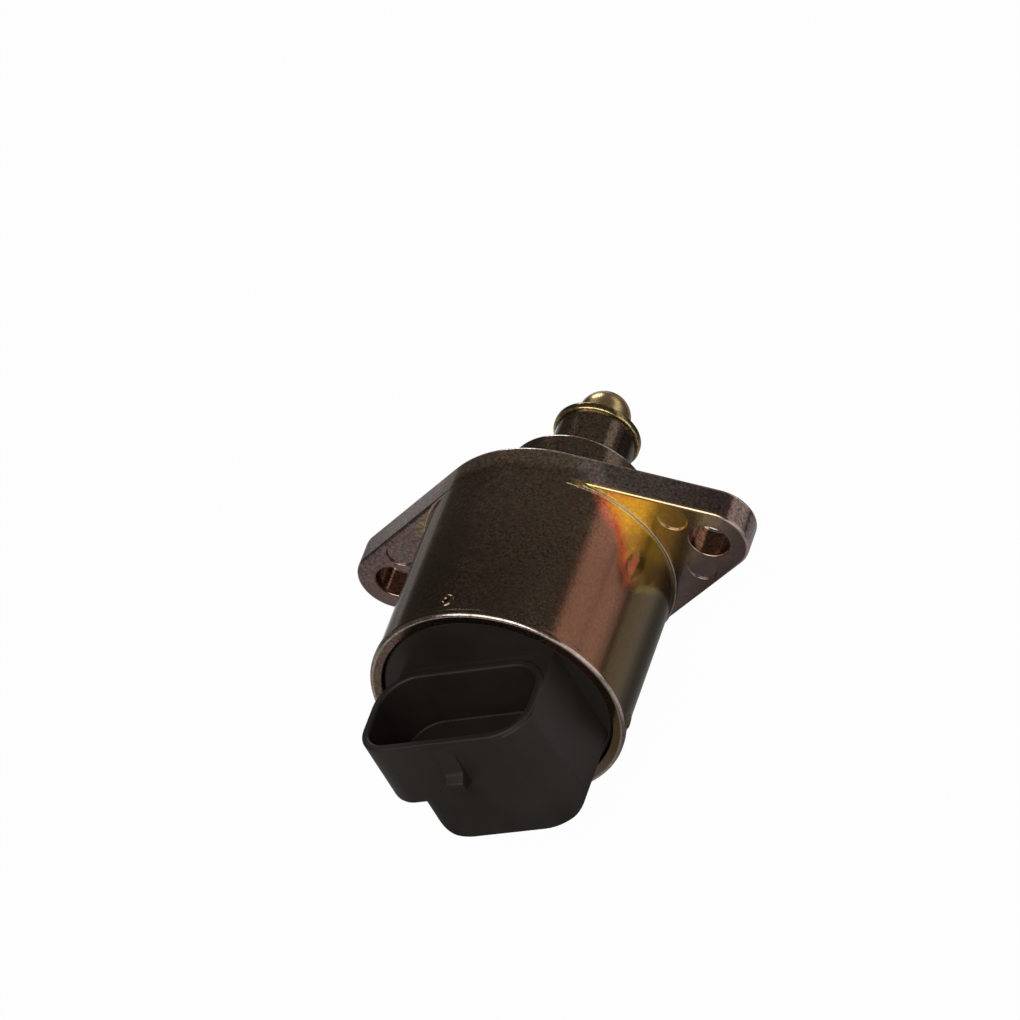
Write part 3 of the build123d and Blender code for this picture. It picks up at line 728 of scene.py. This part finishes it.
def plain_finish(name, tint, shade, rough):
    """Dull material with a fine two-tone grain."""
    material, tree, shader, place = new_finish(name)
    grain = speckle(tree, place, 700.0, 5.0)
    tree.links.new(mixed(tree, spread(tree, grain, 0.35, 0.65), tint, shade), shader.inputs["Base Color"])
    tree.links.new(spread(tree, grain, 0.3, 0.7, rough, rough + 0.12), shader.inputs["Roughness"])
    roughen(tree, shader, grain, 0.2, 0.01 * MM)
    return material


def flange_plate(body, radius, ear_radius, front, rear):
    """Plate with two ears drawn tight round the can: four arcs joined by straight tangents."""
    reach = body.hole_spacing / 2
    lean = acos((radius - ear_radius) / reach)
    arcs = [(reach, ear_radius, -lean, lean, 32), (0, radius, lean, pi - lean, 48),
            (-reach, ear_radius, pi - lean, pi + lean, 32), (0, radius, pi + lean, 2 * pi - lean, 48)]
    bm = bmesh.new()
    ends = []
    for centre, bend, start, stop, steps in arcs:
        first = bm.verts.new((centre + bend * cos(start), front, bend * sin(start)))
        swept = bmesh.ops.spin(bm, geom=[first], cent=(centre, front, 0), axis=-AXIS, dvec=(0, 0, 0),
                               angle=stop - start, steps=steps)
        last = next(item for item in swept["geom_last"] if isinstance(item, bmesh.types.BMVert))
        ends.append((first, last))
    for (_, last), (first, _) in zip(ends, ends[1:] + ends[:1]):
        bm.edges.new((last, first))
    bmesh.ops.contextual_create(bm, geom=bm.edges[:])
    raised(bm, (0, rear - front, 0))
    return bm


def casting_core(body):
    """Can, collar, neck and nose with their bores, turned from one outline that draws in under the flange."""
    nose, collar = body.nose_length, body.collar_length
    shoulder = nose - body.nose_rim
    groove_front = body.groove_rear + body.groove_width
    groove_radius = body.collar_radius - body.groove_depth
    lip_radius, lip_front = body.can_radius + body.lip_height, -body.can_length + body.lip_length
    hidden_radius, hidden_front = body.can_radius - 0.6 * MM, -1.0 * MM
    hidden_rear = -body.flange_thickness + 0.7 * MM
    soft = 0.2 * MM
    return turned([
        (body.nose_bore, nose, 0.15 * MM),
        (body.nose_radius, nose, body.nose_round),
        (body.nose_radius, shoulder, body.nose_round),
        (body.neck_radius, shoulder, 0.1 * MM),
        (body.neck_radius, collar + body.neck_flare, 0.35 * MM),
        (body.neck_radius + body.neck_flare, collar, soft),
        (body.collar_radius, collar, body.collar_chamfer),
        (body.collar_radius, groove_front, soft),
        (groove_radius, groove_front, 0),
        (groove_radius, body.groove_rear, 0),
        (body.collar_radius, body.groove_rear, soft),
        (body.collar_radius, hidden_front, 0),
        (hidden_radius, hidden_front, 0),
        (hidden_radius, hidden_rear + 0.6 * MM, 0),
        (body.can_radius, hidden_rear, 0),
        (body.can_radius, lip_front, 0),
        (lip_radius, lip_front - 0.02 * MM, 0.05 * MM),
        (lip_radius, -body.can_length, body.rim_round),
        (body.can_bore, -body.can_length, soft),
        (body.can_bore, -body.can_floor, 0.3 * MM),
        (body.bearing_bore, -body.can_floor, soft),
        (body.bearing_bore, body.bearing_depth, 0),
        (body.nose_bore, body.bearing_depth, 0)])


def casting_flange(body):
    """Eared plate with rounded rims, hollow where the core passes through it."""
    rear = -body.flange_thickness
    plate = flange_plate(body, body.can_radius + 0.03 * MM, body.ear_radius, 0.0, rear)
    round_edges(plate, level_edges(plate, 1, 0.0) + level_edges(plate, 1, rear), body.edge_round)
    narrow, wide = body.collar_radius - 0.5 * MM, body.can_radius - 0.7 * MM
    step, below = -2.0 * MM, -6.0 * MM
    reach = body.hole_spacing / 2
    cutters = [turned([(0, PROUD, 0), (narrow, PROUD, 0), (narrow, step, 0), (wide, step, 0),
                       (wide, below, 0), (0, below, 0)], HOLLOW_STEPS)]
    cutters += [bolt_hole(body, side * reach) for side in (-1, 1)]
    cutters += [ejector_mark(body, side * (reach - body.mark_inset), lean * body.mark_offset)
                for side in (-1, 1) for lean in (-1, 1)]
    return combined(plate, gathered(*cutters), "DIFFERENCE")


def root_ring(body):
    """Ring round the can's root with a fillet up to the can, cut off at the flange's own outline."""
    inner, outer = body.can_radius - 0.6 * MM, body.can_radius + body.ring_width
    wall = body.can_radius - 0.05 * MM
    base, step = -body.flange_thickness + 0.4 * MM, -body.flange_thickness - body.ring_height
    top = step - body.ring_fillet - 0.2 * MM
    ring = turned([(inner, base, 0), (outer, base, 0), (outer, step, 0.16 * MM),
                   (wall, step, body.ring_fillet), (wall, top, 0), (inner, top, 0)], RING_STEPS, 8)
    limit = flange_plate(body, body.can_radius - 0.02 * MM, body.ear_radius - 0.05 * MM,
                         base + 0.1 * MM, top - PROUD)
    return combined(ring, limit, "INTERSECT")


def bolt_hole(body, x):
    """Cutter for a bolt hole that leaves both of its edges rounded."""
    rear = -body.flange_thickness - CLEAR
    flare = body.hole_radius + 0.8 * MM
    hole = turned([(0, PROUD, 0), (flare, PROUD, 0), (flare, CLEAR, 0),
                   (body.hole_radius, CLEAR, 0.12 * MM), (body.hole_radius, rear, 0.25 * MM),
                   (flare, rear, 0), (flare, rear - PROUD, 0), (0, rear - PROUD, 0)], SMALL_TURN_STEPS)
    return moved(hole, Matrix.Translation((x, 0, 0)))


def ejector_mark(body, x, z):
    """Cutter for a shallow round mark with soft edges."""
    face = -body.flange_thickness - CLEAR
    floor = face + body.mark_depth
    flare = body.mark_radius + 0.5 * MM
    mark = turned([(0, floor, 0), (body.mark_radius, floor, 0.1 * MM), (body.mark_radius, face, 0.15 * MM),
                   (flare, face, 0), (flare, face - PROUD, 0), (0, face - PROUD, 0)], SMALL_TURN_STEPS)
    return moved(mark, Matrix.Translation((x, 0, z)))


def at_stake(body, bm, angle):
    """Moves a shape that was turned about the axis to a stake on the can's side."""
    outward = Vector((cos(angle), 0, sin(angle)))
    place = outward * body.can_radius - AXIS * body.stake_station
    turn = AXIS.rotation_difference(outward).to_matrix().to_4x4()
    return moved(bm, Matrix.Translation(place) @ turn)


def stake_burr(body, angle):
    """Ring of metal that the punch pushed up."""
    radius, sunk = body.stake_radius, -0.4 * MM
    burr = turned([(0.5 * radius, sunk, 0), (2.3 * radius, sunk, 0),
                   (1.5 * radius, body.burr_height, 0.16 * MM), (0.8 * radius, body.burr_height, 0.12 * MM),
                   (0.5 * radius, 0.02 * MM, 0)], STAKE_STEPS)
    return at_stake(body, burr, angle)


def stake_pit(body, angle):
    """Punch mark in the middle of a stake."""
    radius, top = body.stake_radius, 0.2 * MM
    pit = turned([(0, -body.stake_depth, 0), (0.4 * radius, -body.stake_depth, 0), (0.62 * radius, top, 0),
                  (0, top, 0)], STAKE_STEPS - 4)
    return at_stake(body, pit, angle)


def build_casting(body, colours):
    """Plated casting: can, flange with ears, collar, neck and nose."""
    stakes = [radians(90 + turn) for turn in (0, 120, 240)]
    core = combined(casting_core(body), gathered(*[stake_pit(body, angle) for angle in stakes]), "DIFFERENCE")
    core = combined(core, gathered(*[stake_burr(body, angle) for angle in stakes]), "UNION")
    whole = combined(combined(core, casting_flange(body), "UNION"), root_ring(body), "UNION")
    make_piece("valve_casting", whole, plated_finish(body, colours), "housing", "zinc_plate", "valve_body")


def cap_disc(cap):
    """Disc with its broken edge, the two grooves, the wiring space and the seat of the rear bush."""
    front, rear, edge = -cap.disc_front, -cap.disc_rear, cap.disc_radius
    stakes, seal = edge - cap.stake_groove_depth, edge - cap.seal_groove_depth
    wiring, wiring_floor = edge - cap.wiring_wall, front - cap.wiring_depth
    broken = 0.12 * MM
    return turned([
        (0, rear, 0), (edge - cap.disc_chamfer, rear, broken), (edge, rear + cap.disc_chamfer, broken),
        (edge, -cap.stake_groove_rear, 0), (stakes, -cap.stake_groove_rear, 0),
        (stakes, -cap.stake_groove_front, 0), (seal, -cap.stake_groove_front, 0),
        (seal, -cap.seal_groove_front, 0), (edge, -cap.seal_groove_front, 0), (edge, front, 0),
        (wiring, front, 0), (wiring, wiring_floor, 0), (cap.wiring_inner, wiring_floor, 0),
        (cap.wiring_inner, front, 0), (cap.bush_radius, front, 0), (cap.bush_radius, -cap.bush_seat, 0),
        (cap.tail_radius, -cap.bush_seat, 0), (cap.tail_radius, -cap.tail_room, 0), (0, -cap.tail_room, 0)])


def socket_shroud(cap):
    """Rounded sleeve round the pocket, with a soft rim and a rounded underside."""
    half = cap.width / 2
    corners = [cap.corner, cap.corner, cap.corner, cap.tight_corner]
    shroud = slab(-half, half, -cap.front, -cap.rear + 0.02 * MM, -cap.foot, cap.mouth, corners, 12)
    round_edges(shroud, level_edges(shroud, 2, -cap.foot), cap.foot_round)
    round_edges(shroud, level_edges(shroud, 2, cap.mouth), cap.mouth_round, 4)
    return shroud


def socket_block(cap):
    """Block under the socket: upright corners at the rear, big round corners at its foot."""
    left, right = -cap.block_left, cap.width / 2 + cap.block_draft
    front, top = -cap.disc_rear + 0.2 * MM, cap.mouth - cap.rim_stand
    corners = (0, 0, cap.corner, cap.block_corner)
    block = slab(left, right, front, -cap.rear, -cap.block_foot, top, corners, 12)
    front_edges = level_edges(block, 1, front)
    round_edges(block, [edge for edge in level_edges(block, 2, top) if edge not in front_edges], 0.5 * MM, 4)
    profile = bmesh.new()
    left, right, high = left - CLEAR, right + CLEAR, top + CLEAR
    places = [(left, high, 0), (right - cap.block_draft, high, 0), (right, -cap.block_foot, cap.foot_right),
              (left, -cap.block_foot, cap.foot_left)]
    verts = [profile.verts.new((x, front + PROUD, z)) for x, z, _ in places]
    profile.faces.new(verts)
    round_corners(profile, list(zip(verts, [place[2] for place in places])), 14)
    raised(profile, (0, -cap.rear - front - 2 * PROUD, 0))
    block = combined(block, profile, "INTERSECT")
    crease = [edge for edge in block.edges if edge.calc_face_angle(0) > SHARP_ANGLE
              and max(vert.co.z for vert in edge.verts) < -cap.foot
              and max(vert.co.y for vert in edge.verts) < front - WELD]
    round_edges(block, crease, cap.block_round, 4)
    return block


def socket_pocket(cap):
    """Cutter for the pocket, with a flared mouth that leaves the rim rounded."""
    half = cap.width / 2 - cap.wall
    corner = cap.corner - cap.wall
    corners = [corner, corner, corner, cap.tight_corner - cap.wall]
    front, rear = -cap.front - cap.wall, -cap.rear + cap.wall
    floor, throat = cap.mouth - cap.depth, cap.mouth - cap.mouth_round
    pocket = slab(-half, half, front, rear, floor, throat, corners, 10)
    round_edges(pocket, level_edges(pocket, 2, floor), 0.3 * MM, 3)
    middle = (front + rear) / 2
    lift, grown = throat, 0.0
    steps = 5
    for step in range(1, steps + 1):
        angle = step * pi / (2 * steps)
        lift_to = throat + cap.mouth_round * sin(angle) + (PROUD if step == steps else 0.0)
        grow_to = cap.mouth_round * (1 - cos(angle))
        widen_top(pocket, lift_to - lift, half, (front - rear) / 2, middle, grown, grow_to)
        lift, grown = lift_to, grow_to
    return pocket


def widen_top(bm, lift, half_width, half_height, middle, before, after):
    """Draws up the highest face and widens it from one offset to another."""
    verts = drawn_up(bm)
    scale = ((half_width + after) / (half_width + before), (half_height + after) / (half_height + before), 1)
    bmesh.ops.scale(bm, vec=scale, verts=verts, space=Matrix.Translation((0, -middle, 0)))
    bmesh.ops.translate(bm, verts=verts, vec=(0, 0, lift))


def latch_rib(cap):
    """Slow rib on the rear face that turns out into the catch that the plug's latch snaps over."""
    half = cap.latch_width / 2
    rear, inside = -cap.rear, -cap.rear + cap.wall / 2
    crest = rear - cap.latch_height
    side = [(inside, cap.latch_top, 0), (rear, cap.latch_top, 0),
            (rear - cap.latch_rib, cap.latch_start, 0.5 * MM), (crest, cap.latch_crest, 0.3 * MM),
            (crest, cap.latch_foot + 0.25 * MM, 0.2 * MM), (inside, cap.latch_foot, 0)]
    bm = bmesh.new()
    verts = [bm.verts.new((-half, y, z)) for y, z, _ in side]
    bm.faces.new(verts)
    round_corners(bm, list(zip(verts, [point[2] for point in side])), 4)
    raised(bm, (cap.latch_width, 0, 0))
    outer = [edge for edge in bm.edges if abs(edge.verts[0].co.x - edge.verts[1].co.x) < WELD
             and all(vert.co.y < rear + WELD for vert in edge.verts)]
    round_edges(bm, outer, 0.15 * MM, 3)
    return bm


def build_cap(cap, colours):
    """Moulded cap: disc, right-angle socket housing, latch rib and pocket."""
    half = cap.width / 2
    top = cap.mouth - cap.rim_stand
    web = slab(-cap.pedestal_left, half - 0.5 * MM, -cap.disc_rear + 0.3 * MM, -cap.front - cap.corner / 2,
               -cap.foot - 0.02 * MM, top - 0.02 * MM, (0, 0, 0, 0.4 * MM))
    whole = combined(cap_disc(cap), socket_block(cap), "UNION")
    whole = combined(whole, web, "UNION")
    whole = combined(whole, socket_shroud(cap), "UNION")
    whole = combined(whole, latch_rib(cap), "UNION")
    middle = -(cap.front + cap.rear) / 2
    aside, across = cap.well_width / 2, cap.well_height / 2
    well = slab(-aside, aside, middle + across, middle - across, -cap.well_depth, 0.5 * MM, [0.8 * MM] * 4, 4)
    whole = combined(whole, socket_pocket(cap), "DIFFERENCE")
    whole = combined(whole, well, "DIFFERENCE")
    finish = moulded_finish("black_moulding", colours.plastic)
    make_piece("socket_cap", whole, finish, "housing", "black_plastic", "connector_cap")


def build_blades(cap):
    """Four tinned blades, each bent into a leg that runs forward through the disc."""
    finish = metal_finish("tinned_brass", (0.72, 0.70, 0.66), (0.55, 0.52, 0.47), (0.25, 0.4),
                          (900, 900, 6000))
    middle = -(cap.front + cap.rear) / 2
    low, leg_end = -cap.leg_drop, -cap.leg_end
    back, front = middle - cap.blade_stock / 2, middle + cap.blade_stock / 2
    shoulder = cap.blade_tip - cap.blade_taper
    side = [(back, low), (leg_end, low), (leg_end, low + cap.blade_stock), (front, low + cap.blade_stock),
            (front, shoulder), (back, shoulder)]
    for index in range(4):
        x = (index - 1.5) * cap.blade_pitch
        bm = bmesh.new()
        bm.faces.new([bm.verts.new((x - cap.blade_width / 2, y, z)) for y, z in side])
        raised(bm, (cap.blade_width, 0, 0))
        verts = drawn_up(bm)
        bmesh.ops.translate(bm, verts=verts, vec=(0, 0, cap.blade_taper))
        narrow = (cap.blade_stock / cap.blade_width, 0.75, 1)
        bmesh.ops.scale(bm, vec=narrow, verts=verts, space=Matrix.Translation((-x, -middle, 0)))
        bmesh.ops.recalc_face_normals(bm, faces=bm.faces)
        round_edges(bm, bm.edges, cap.blade_round, 2)
        make_piece(f"blade_{index + 1}", bm, finish, "housing", "tin_plate", f"terminal_{index + 1}")


def build_plunger(plunger, colours):
    """Brass pintle with a round nose, bored at the back for the screw."""
    dome = plunger.radius - 0.02 * MM
    bore_end = plunger.rear + plunger.bore_depth
    pintle = turned([(0, plunger.tip, 0), (plunger.radius, plunger.tip, dome),
                     (plunger.radius, plunger.rear, 0.3 * MM), (plunger.bore, plunger.rear, 0),
                     (plunger.bore, bore_end, 0), (0, bore_end, 0)], SMALL_TURN_STEPS, 24)
    finish = metal_finish("turned_brass", colours.brass, dimmed(colours.brass, 0.8), (0.20, 0.34))
    make_piece("pintle_plunger", pintle, finish, "plunger", "brass", "pintle")


def build_guide(plunger, body, colours):
    """Bronze guide in the nose and the rubber seal in the collar's groove."""
    front, rear = plunger.guide_front, plunger.guide_front - plunger.guide_length
    inner = plunger.radius + plunger.guide_gap
    bore_edge, outer_edge = 0.25 * MM, 0.15 * MM
    guide = turned([(inner, front, bore_edge), (body.nose_bore, front, outer_edge),
                    (body.nose_bore, rear, outer_edge), (inner, rear, bore_edge)], SMALL_TURN_STEPS)
    bronze = metal_finish("sintered_bronze", (0.45, 0.27, 0.14), (0.30, 0.18, 0.09), (0.4, 0.55),
                          (2500, 2500, 2500))
    make_piece("guide_sleeve", guide, bronze, "housing", "bronze", "guide_bush")
    section = plunger.seal_section / 2
    station = body.groove_rear + body.groove_width / 2
    bm = bmesh.new()
    place = Matrix.Translation((plunger.seal_outer - section, station, 0))
    bmesh.ops.create_circle(bm, segments=28, radius=section, matrix=place)
    bmesh.ops.spin(bm, geom=bm.verts[:] + bm.edges[:], cent=(0, 0, 0), axis=AXIS, dvec=(0, 0, 0),
                   angle=2 * pi, steps=TURN_STEPS, use_merge=True)
    rubber = plain_finish("seal_rubber", colours.rubber, RUBBER_BLOOM, 0.42)
    make_piece("collar_seal", bm, rubber, "housing", "black_rubber", "mount_o_ring")


def dress_inside(colours):
    """Finishes for the CAD nodes that stay as they are inside the can."""
    steel = metal_finish("ground_steel", (0.56, 0.56, 0.55), (0.42, 0.42, 0.41), (0.18, 0.3))
    finishes = {
        "rear_bush": metal_finish("bush_bronze", (0.45, 0.27, 0.14), (0.32, 0.19, 0.1), (0.4, 0.55)),
        "ball_cage": metal_finish("cage_brass", (0.70, 0.52, 0.24), (0.55, 0.4, 0.18)),
        "rotor_hub": moulded_finish("hub_nylon", (0.55, 0.53, 0.46), (0.4, 0.55)),
        "rotor_magnet": plain_finish("magnet_ferrite", (0.04, 0.04, 0.042), (0.07, 0.07, 0.07), 0.45),
        "drive_nut": metal_finish("nut_brass", (0.72, 0.54, 0.26), (0.58, 0.42, 0.18)),
        "cap_seal": plain_finish("cap_seal_rubber", colours.rubber, RUBBER_BLOOM, 0.42),
    }
    iron = metal_finish("field_iron", (0.50, 0.48, 0.42), (0.36, 0.34, 0.30), (0.32, 0.48), (700, 700, 700))
    nylon = moulded_finish("bobbin_nylon", (0.50, 0.47, 0.38), (0.4, 0.55))
    copper = metal_finish("winding_copper", (0.62, 0.26, 0.12), (0.42, 0.16, 0.07), (0.25, 0.4),
                          (300, 5200, 300))
    for phase in ("front", "rear"):
        finishes.update({f"{phase}_field_cup": iron, f"{phase}_field_plate": iron, f"{phase}_bobbin": nylon,
                         f"{phase}_winding": copper})
    for name in ("key_plate", "preload_washer", "bearing_outer_race", "bearing_inner_race", "bearing_balls",
                 "bearing_retainer", "lead_screw"):
        finishes[name] = steel
    for name, finish in finishes.items():
        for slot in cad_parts[name].material_slots:
            slot.material = finish


def floor_glow(tree):
    """What the plating mirrors of the floor: bands, a bright strip on the left and a dark wedge ahead."""
    place = node(tree, "ShaderNodeTexCoord").outputs["Object"]
    x, y, _ = node(tree, "ShaderNodeSeparateXYZ", {"Vector": place}).outputs
    glow = banded(tree, x, FLOOR_SPAN, [(across, grey(level)) for across, level in FLOOR_GLOW], MM)
    strip = times(tree, spread(tree, x, -56.0 * MM, -50.0 * MM), spread(tree, x, -35.0 * MM, -39.0 * MM))
    strip = times(tree, strip, spread(tree, y, -4.0 * MM, 4.0 * MM, 0.0, 0.95))
    glow = sums(tree, "MAXIMUM", glow, strip)
    wedge = spread(tree, sums(tree, "MULTIPLY_ADD", x, -0.8, y), -10.0 * MM, 14.0 * MM)
    wedge = times(tree, wedge, spread(tree, x, 8.0 * MM, 24.0 * MM, 0.0, 0.8))
    return times(tree, glow, sums(tree, "SUBTRACT", 1.0, wedge))


def floor_finish():
    """White to the camera with the object's shadow on it, and banded to the rays that the plating mirrors."""
    material = bpy.data.materials.new("floor_white")
    material.use_nodes = True
    tree = material.node_tree
    tree.nodes.clear()
    paint = node(tree, "ShaderNodeBsdfDiffuse", {"Color": (0.9, 0.9, 0.9, 1)}).outputs[0]
    path = node(tree, "ShaderNodeLightPath").outputs
    mirrored = sums(tree, "MAXIMUM", path["Is Glossy Ray"], path["Is Transmission Ray"])
    strength = sums(tree, "MULTIPLY_ADD", mirrored, floor_glow(tree), path["Is Camera Ray"])
    glow = node(tree, "ShaderNodeEmission", {"Color": (1, 1, 1, 1), "Strength": strength}).outputs[0]
    share = sums(tree, "MULTIPLY_ADD", path["Is Camera Ray"], 0.98, mirrored)
    both = node(tree, "ShaderNodeMixShader", {0: share, 1: paint, 2: glow}).outputs[0]
    node(tree, "ShaderNodeOutputMaterial", {"Surface": both})
    return material


def build_floor():
    """Plain white floor under the can."""
    bm = bmesh.new()
    bmesh.ops.create_circle(bm, cap_ends=True, segments=96, radius=6.0,
                            matrix=Matrix.Translation((0, 0, CAD_BOX[0][2] - 0.01 * MM)))
    mesh = bpy.data.meshes.new("floor")
    bm.to_mesh(mesh)
    bm.free()
    mesh.materials.append(floor_finish())
    floor = bpy.data.objects.new("floor", mesh)
    bpy.context.scene.collection.objects.link(floor)


def build_world():
    """Dark studio, a little lighter on the right, with a bright low wall there."""
    world = bpy.data.worlds.new("studio")
    world.use_nodes = True
    tree = world.node_tree
    way = node(tree, "ShaderNodeTexCoord").outputs["Generated"]
    x, _, z = node(tree, "ShaderNodeSeparateXYZ", {"Vector": way}).outputs
    wall = times(tree, spread(tree, z, 0.37, 0.29), spread(tree, x, 0.1, 0.5))
    dark = mixed(tree, spread(tree, x, -0.65, 0.05), (0.05, 0.048, 0.045), (0.10, 0.096, 0.09))
    tree.links.new(mixed(tree, wall, dark, grey(0.75)), tree.nodes["Background"].inputs["Color"])
    bpy.context.scene.world = world


def add_softbox(name, place, width, height, power):
    """Soft light that faces the middle of the valve."""
    light = bpy.data.lights.new(name, "AREA")
    light.shape = "RECTANGLE"
    light.size, light.size_y = width, height
    light.energy = power
    lamp = bpy.data.objects.new(name, light)
    facing = (Vector((0, -10 * MM, 0)) - place).to_track_quat("-Z", "Y").to_matrix().to_4x4()
    lamp.matrix_world = Matrix.Translation(place) @ facing
    bpy.context.scene.collection.objects.link(lamp)


def add_camera(stage):
    """Camera at the photograph's angle."""
    data = bpy.data.cameras.new("camera")
    data.lens = stage.focal_length
    data.sensor_width = 36.0
    data.clip_start = 0.01
    camera = bpy.data.objects.new("camera", data)
    turn = (Matrix.Rotation(stage.azimuth, 4, "Z") @ Matrix.Rotation(pi / 2 - stage.elevation, 4, "X")
            @ Matrix.Rotation(stage.roll, 4, "Z"))
    camera.matrix_world = Matrix.Translation(stage.aim) @ turn @ Matrix.Translation((0, 0, stage.distance))
    bpy.context.scene.collection.objects.link(camera)
    bpy.context.scene.camera = camera


def build_stage(stage):
    """Floor, soft light and the camera."""
    bpy.context.scene.view_settings.view_transform = "Standard"
    build_floor()
    build_world()
    add_softbox("key", stage.key_place, stage.key_width, stage.key_height, stage.key_power)
    add_softbox("back", stage.back_place, stage.back_width, stage.back_width, stage.back_power)
    add_camera(stage)


class IDLEVALVE_OT_casting(bpy.types.Operator):
    """Builds the plated casting"""
    bl_idname = "idle_valve.casting"
    bl_label = "Plated casting"

    def execute(self, context):
        build_casting(context.scene.valve_body, context.scene.valve_colours)
        return {"FINISHED"}


class IDLEVALVE_OT_cap(bpy.types.Operator):
    """Builds the moulded cap with its socket"""
    bl_idname = "idle_valve.cap"
    bl_label = "Socket cap"

    def execute(self, context):
        build_cap(context.scene.valve_connector, context.scene.valve_colours)
        return {"FINISHED"}


class IDLEVALVE_OT_blades(bpy.types.Operator):
    """Builds the socket's blades"""
    bl_idname = "idle_valve.blades"
    bl_label = "Blades"

    def execute(self, context):
        build_blades(context.scene.valve_connector)
        return {"FINISHED"}


class IDLEVALVE_OT_plunger(bpy.types.Operator):
    """Builds the brass pintle"""
    bl_idname = "idle_valve.plunger"
    bl_label = "Pintle"

    def execute(self, context):
        build_plunger(context.scene.valve_plunger, context.scene.valve_colours)
        return {"FINISHED"}


class IDLEVALVE_OT_guide(bpy.types.Operator):
    """Builds the guide in the nose and the mounting seal"""
    bl_idname = "idle_valve.guide"
    bl_label = "Guide and seal"

    def execute(self, context):
        build_guide(context.scene.valve_plunger, context.scene.valve_body, context.scene.valve_colours)
        return {"FINISHED"}


class IDLEVALVE_OT_inside(bpy.types.Operator):
    """Gives the motor inside the can its finishes"""
    bl_idname = "idle_valve.inside"
    bl_label = "Motor finishes"

    def execute(self, context):
        dress_inside(context.scene.valve_colours)
        return {"FINISHED"}


class IDLEVALVE_OT_stage(bpy.types.Operator):
    """Sets up the floor, light and camera"""
    bl_idname = "idle_valve.stage"
    bl_label = "Stage"

    def execute(self, context):
        build_stage(context.scene.valve_stage)
        return {"FINISHED"}


OPERATORS = (IDLEVALVE_OT_casting, IDLEVALVE_OT_cap, IDLEVALVE_OT_blades, IDLEVALVE_OT_plunger,
             IDLEVALVE_OT_guide, IDLEVALVE_OT_inside, IDLEVALVE_OT_stage)
GROUPS = {"valve_body": ValveBodySizes, "valve_connector": ConnectorSizes, "valve_plunger": PlungerSizes,
          "valve_colours": ValveColours, "valve_stage": StageSettings}


class IDLEVALVE_PT_panel(bpy.types.Panel):
    """Lists the pieces and their sizes"""
    bl_idname = "IDLEVALVE_PT_panel"
    bl_label = "Idle air valve"
    bl_space_type = "VIEW_3D"
    bl_region_type = "UI"
    bl_category = "Idle valve"

    def draw(self, context):
        for operator in OPERATORS:
            self.layout.operator(operator.bl_idname)
        for name, group in GROUPS.items():
            box = self.layout.box()
            box.label(text=group.__doc__)
            for key in group.__annotations__:
                box.prop(getattr(context.scene, name), key)


def register():
    for group in GROUPS.values():
        bpy.utils.register_class(group)
    for name, group in GROUPS.items():
        setattr(bpy.types.Scene, name, PointerProperty(type=group))
    for operator in OPERATORS:
        bpy.utils.register_class(operator)
    bpy.utils.register_class(IDLEVALVE_PT_panel)


def unregister():
    bpy.utils.unregister_class(IDLEVALVE_PT_panel)
    for operator in reversed(OPERATORS):
        bpy.utils.unregister_class(operator)
    for name in GROUPS:
        delattr(bpy.types.Scene, name)
    for group in reversed(GROUPS.values()):
        bpy.utils.unregister_class(group)


def main():
    register()
    bpy.ops.idle_valve.casting()
    bpy.ops.idle_valve.cap()
    bpy.ops.idle_valve.blades()
    bpy.ops.idle_valve.plunger()
    bpy.ops.idle_valve.guide()
    bpy.ops.idle_valve.inside()
    bpy.ops.idle_valve.stage()


if __name__ == "__main__":
    main()
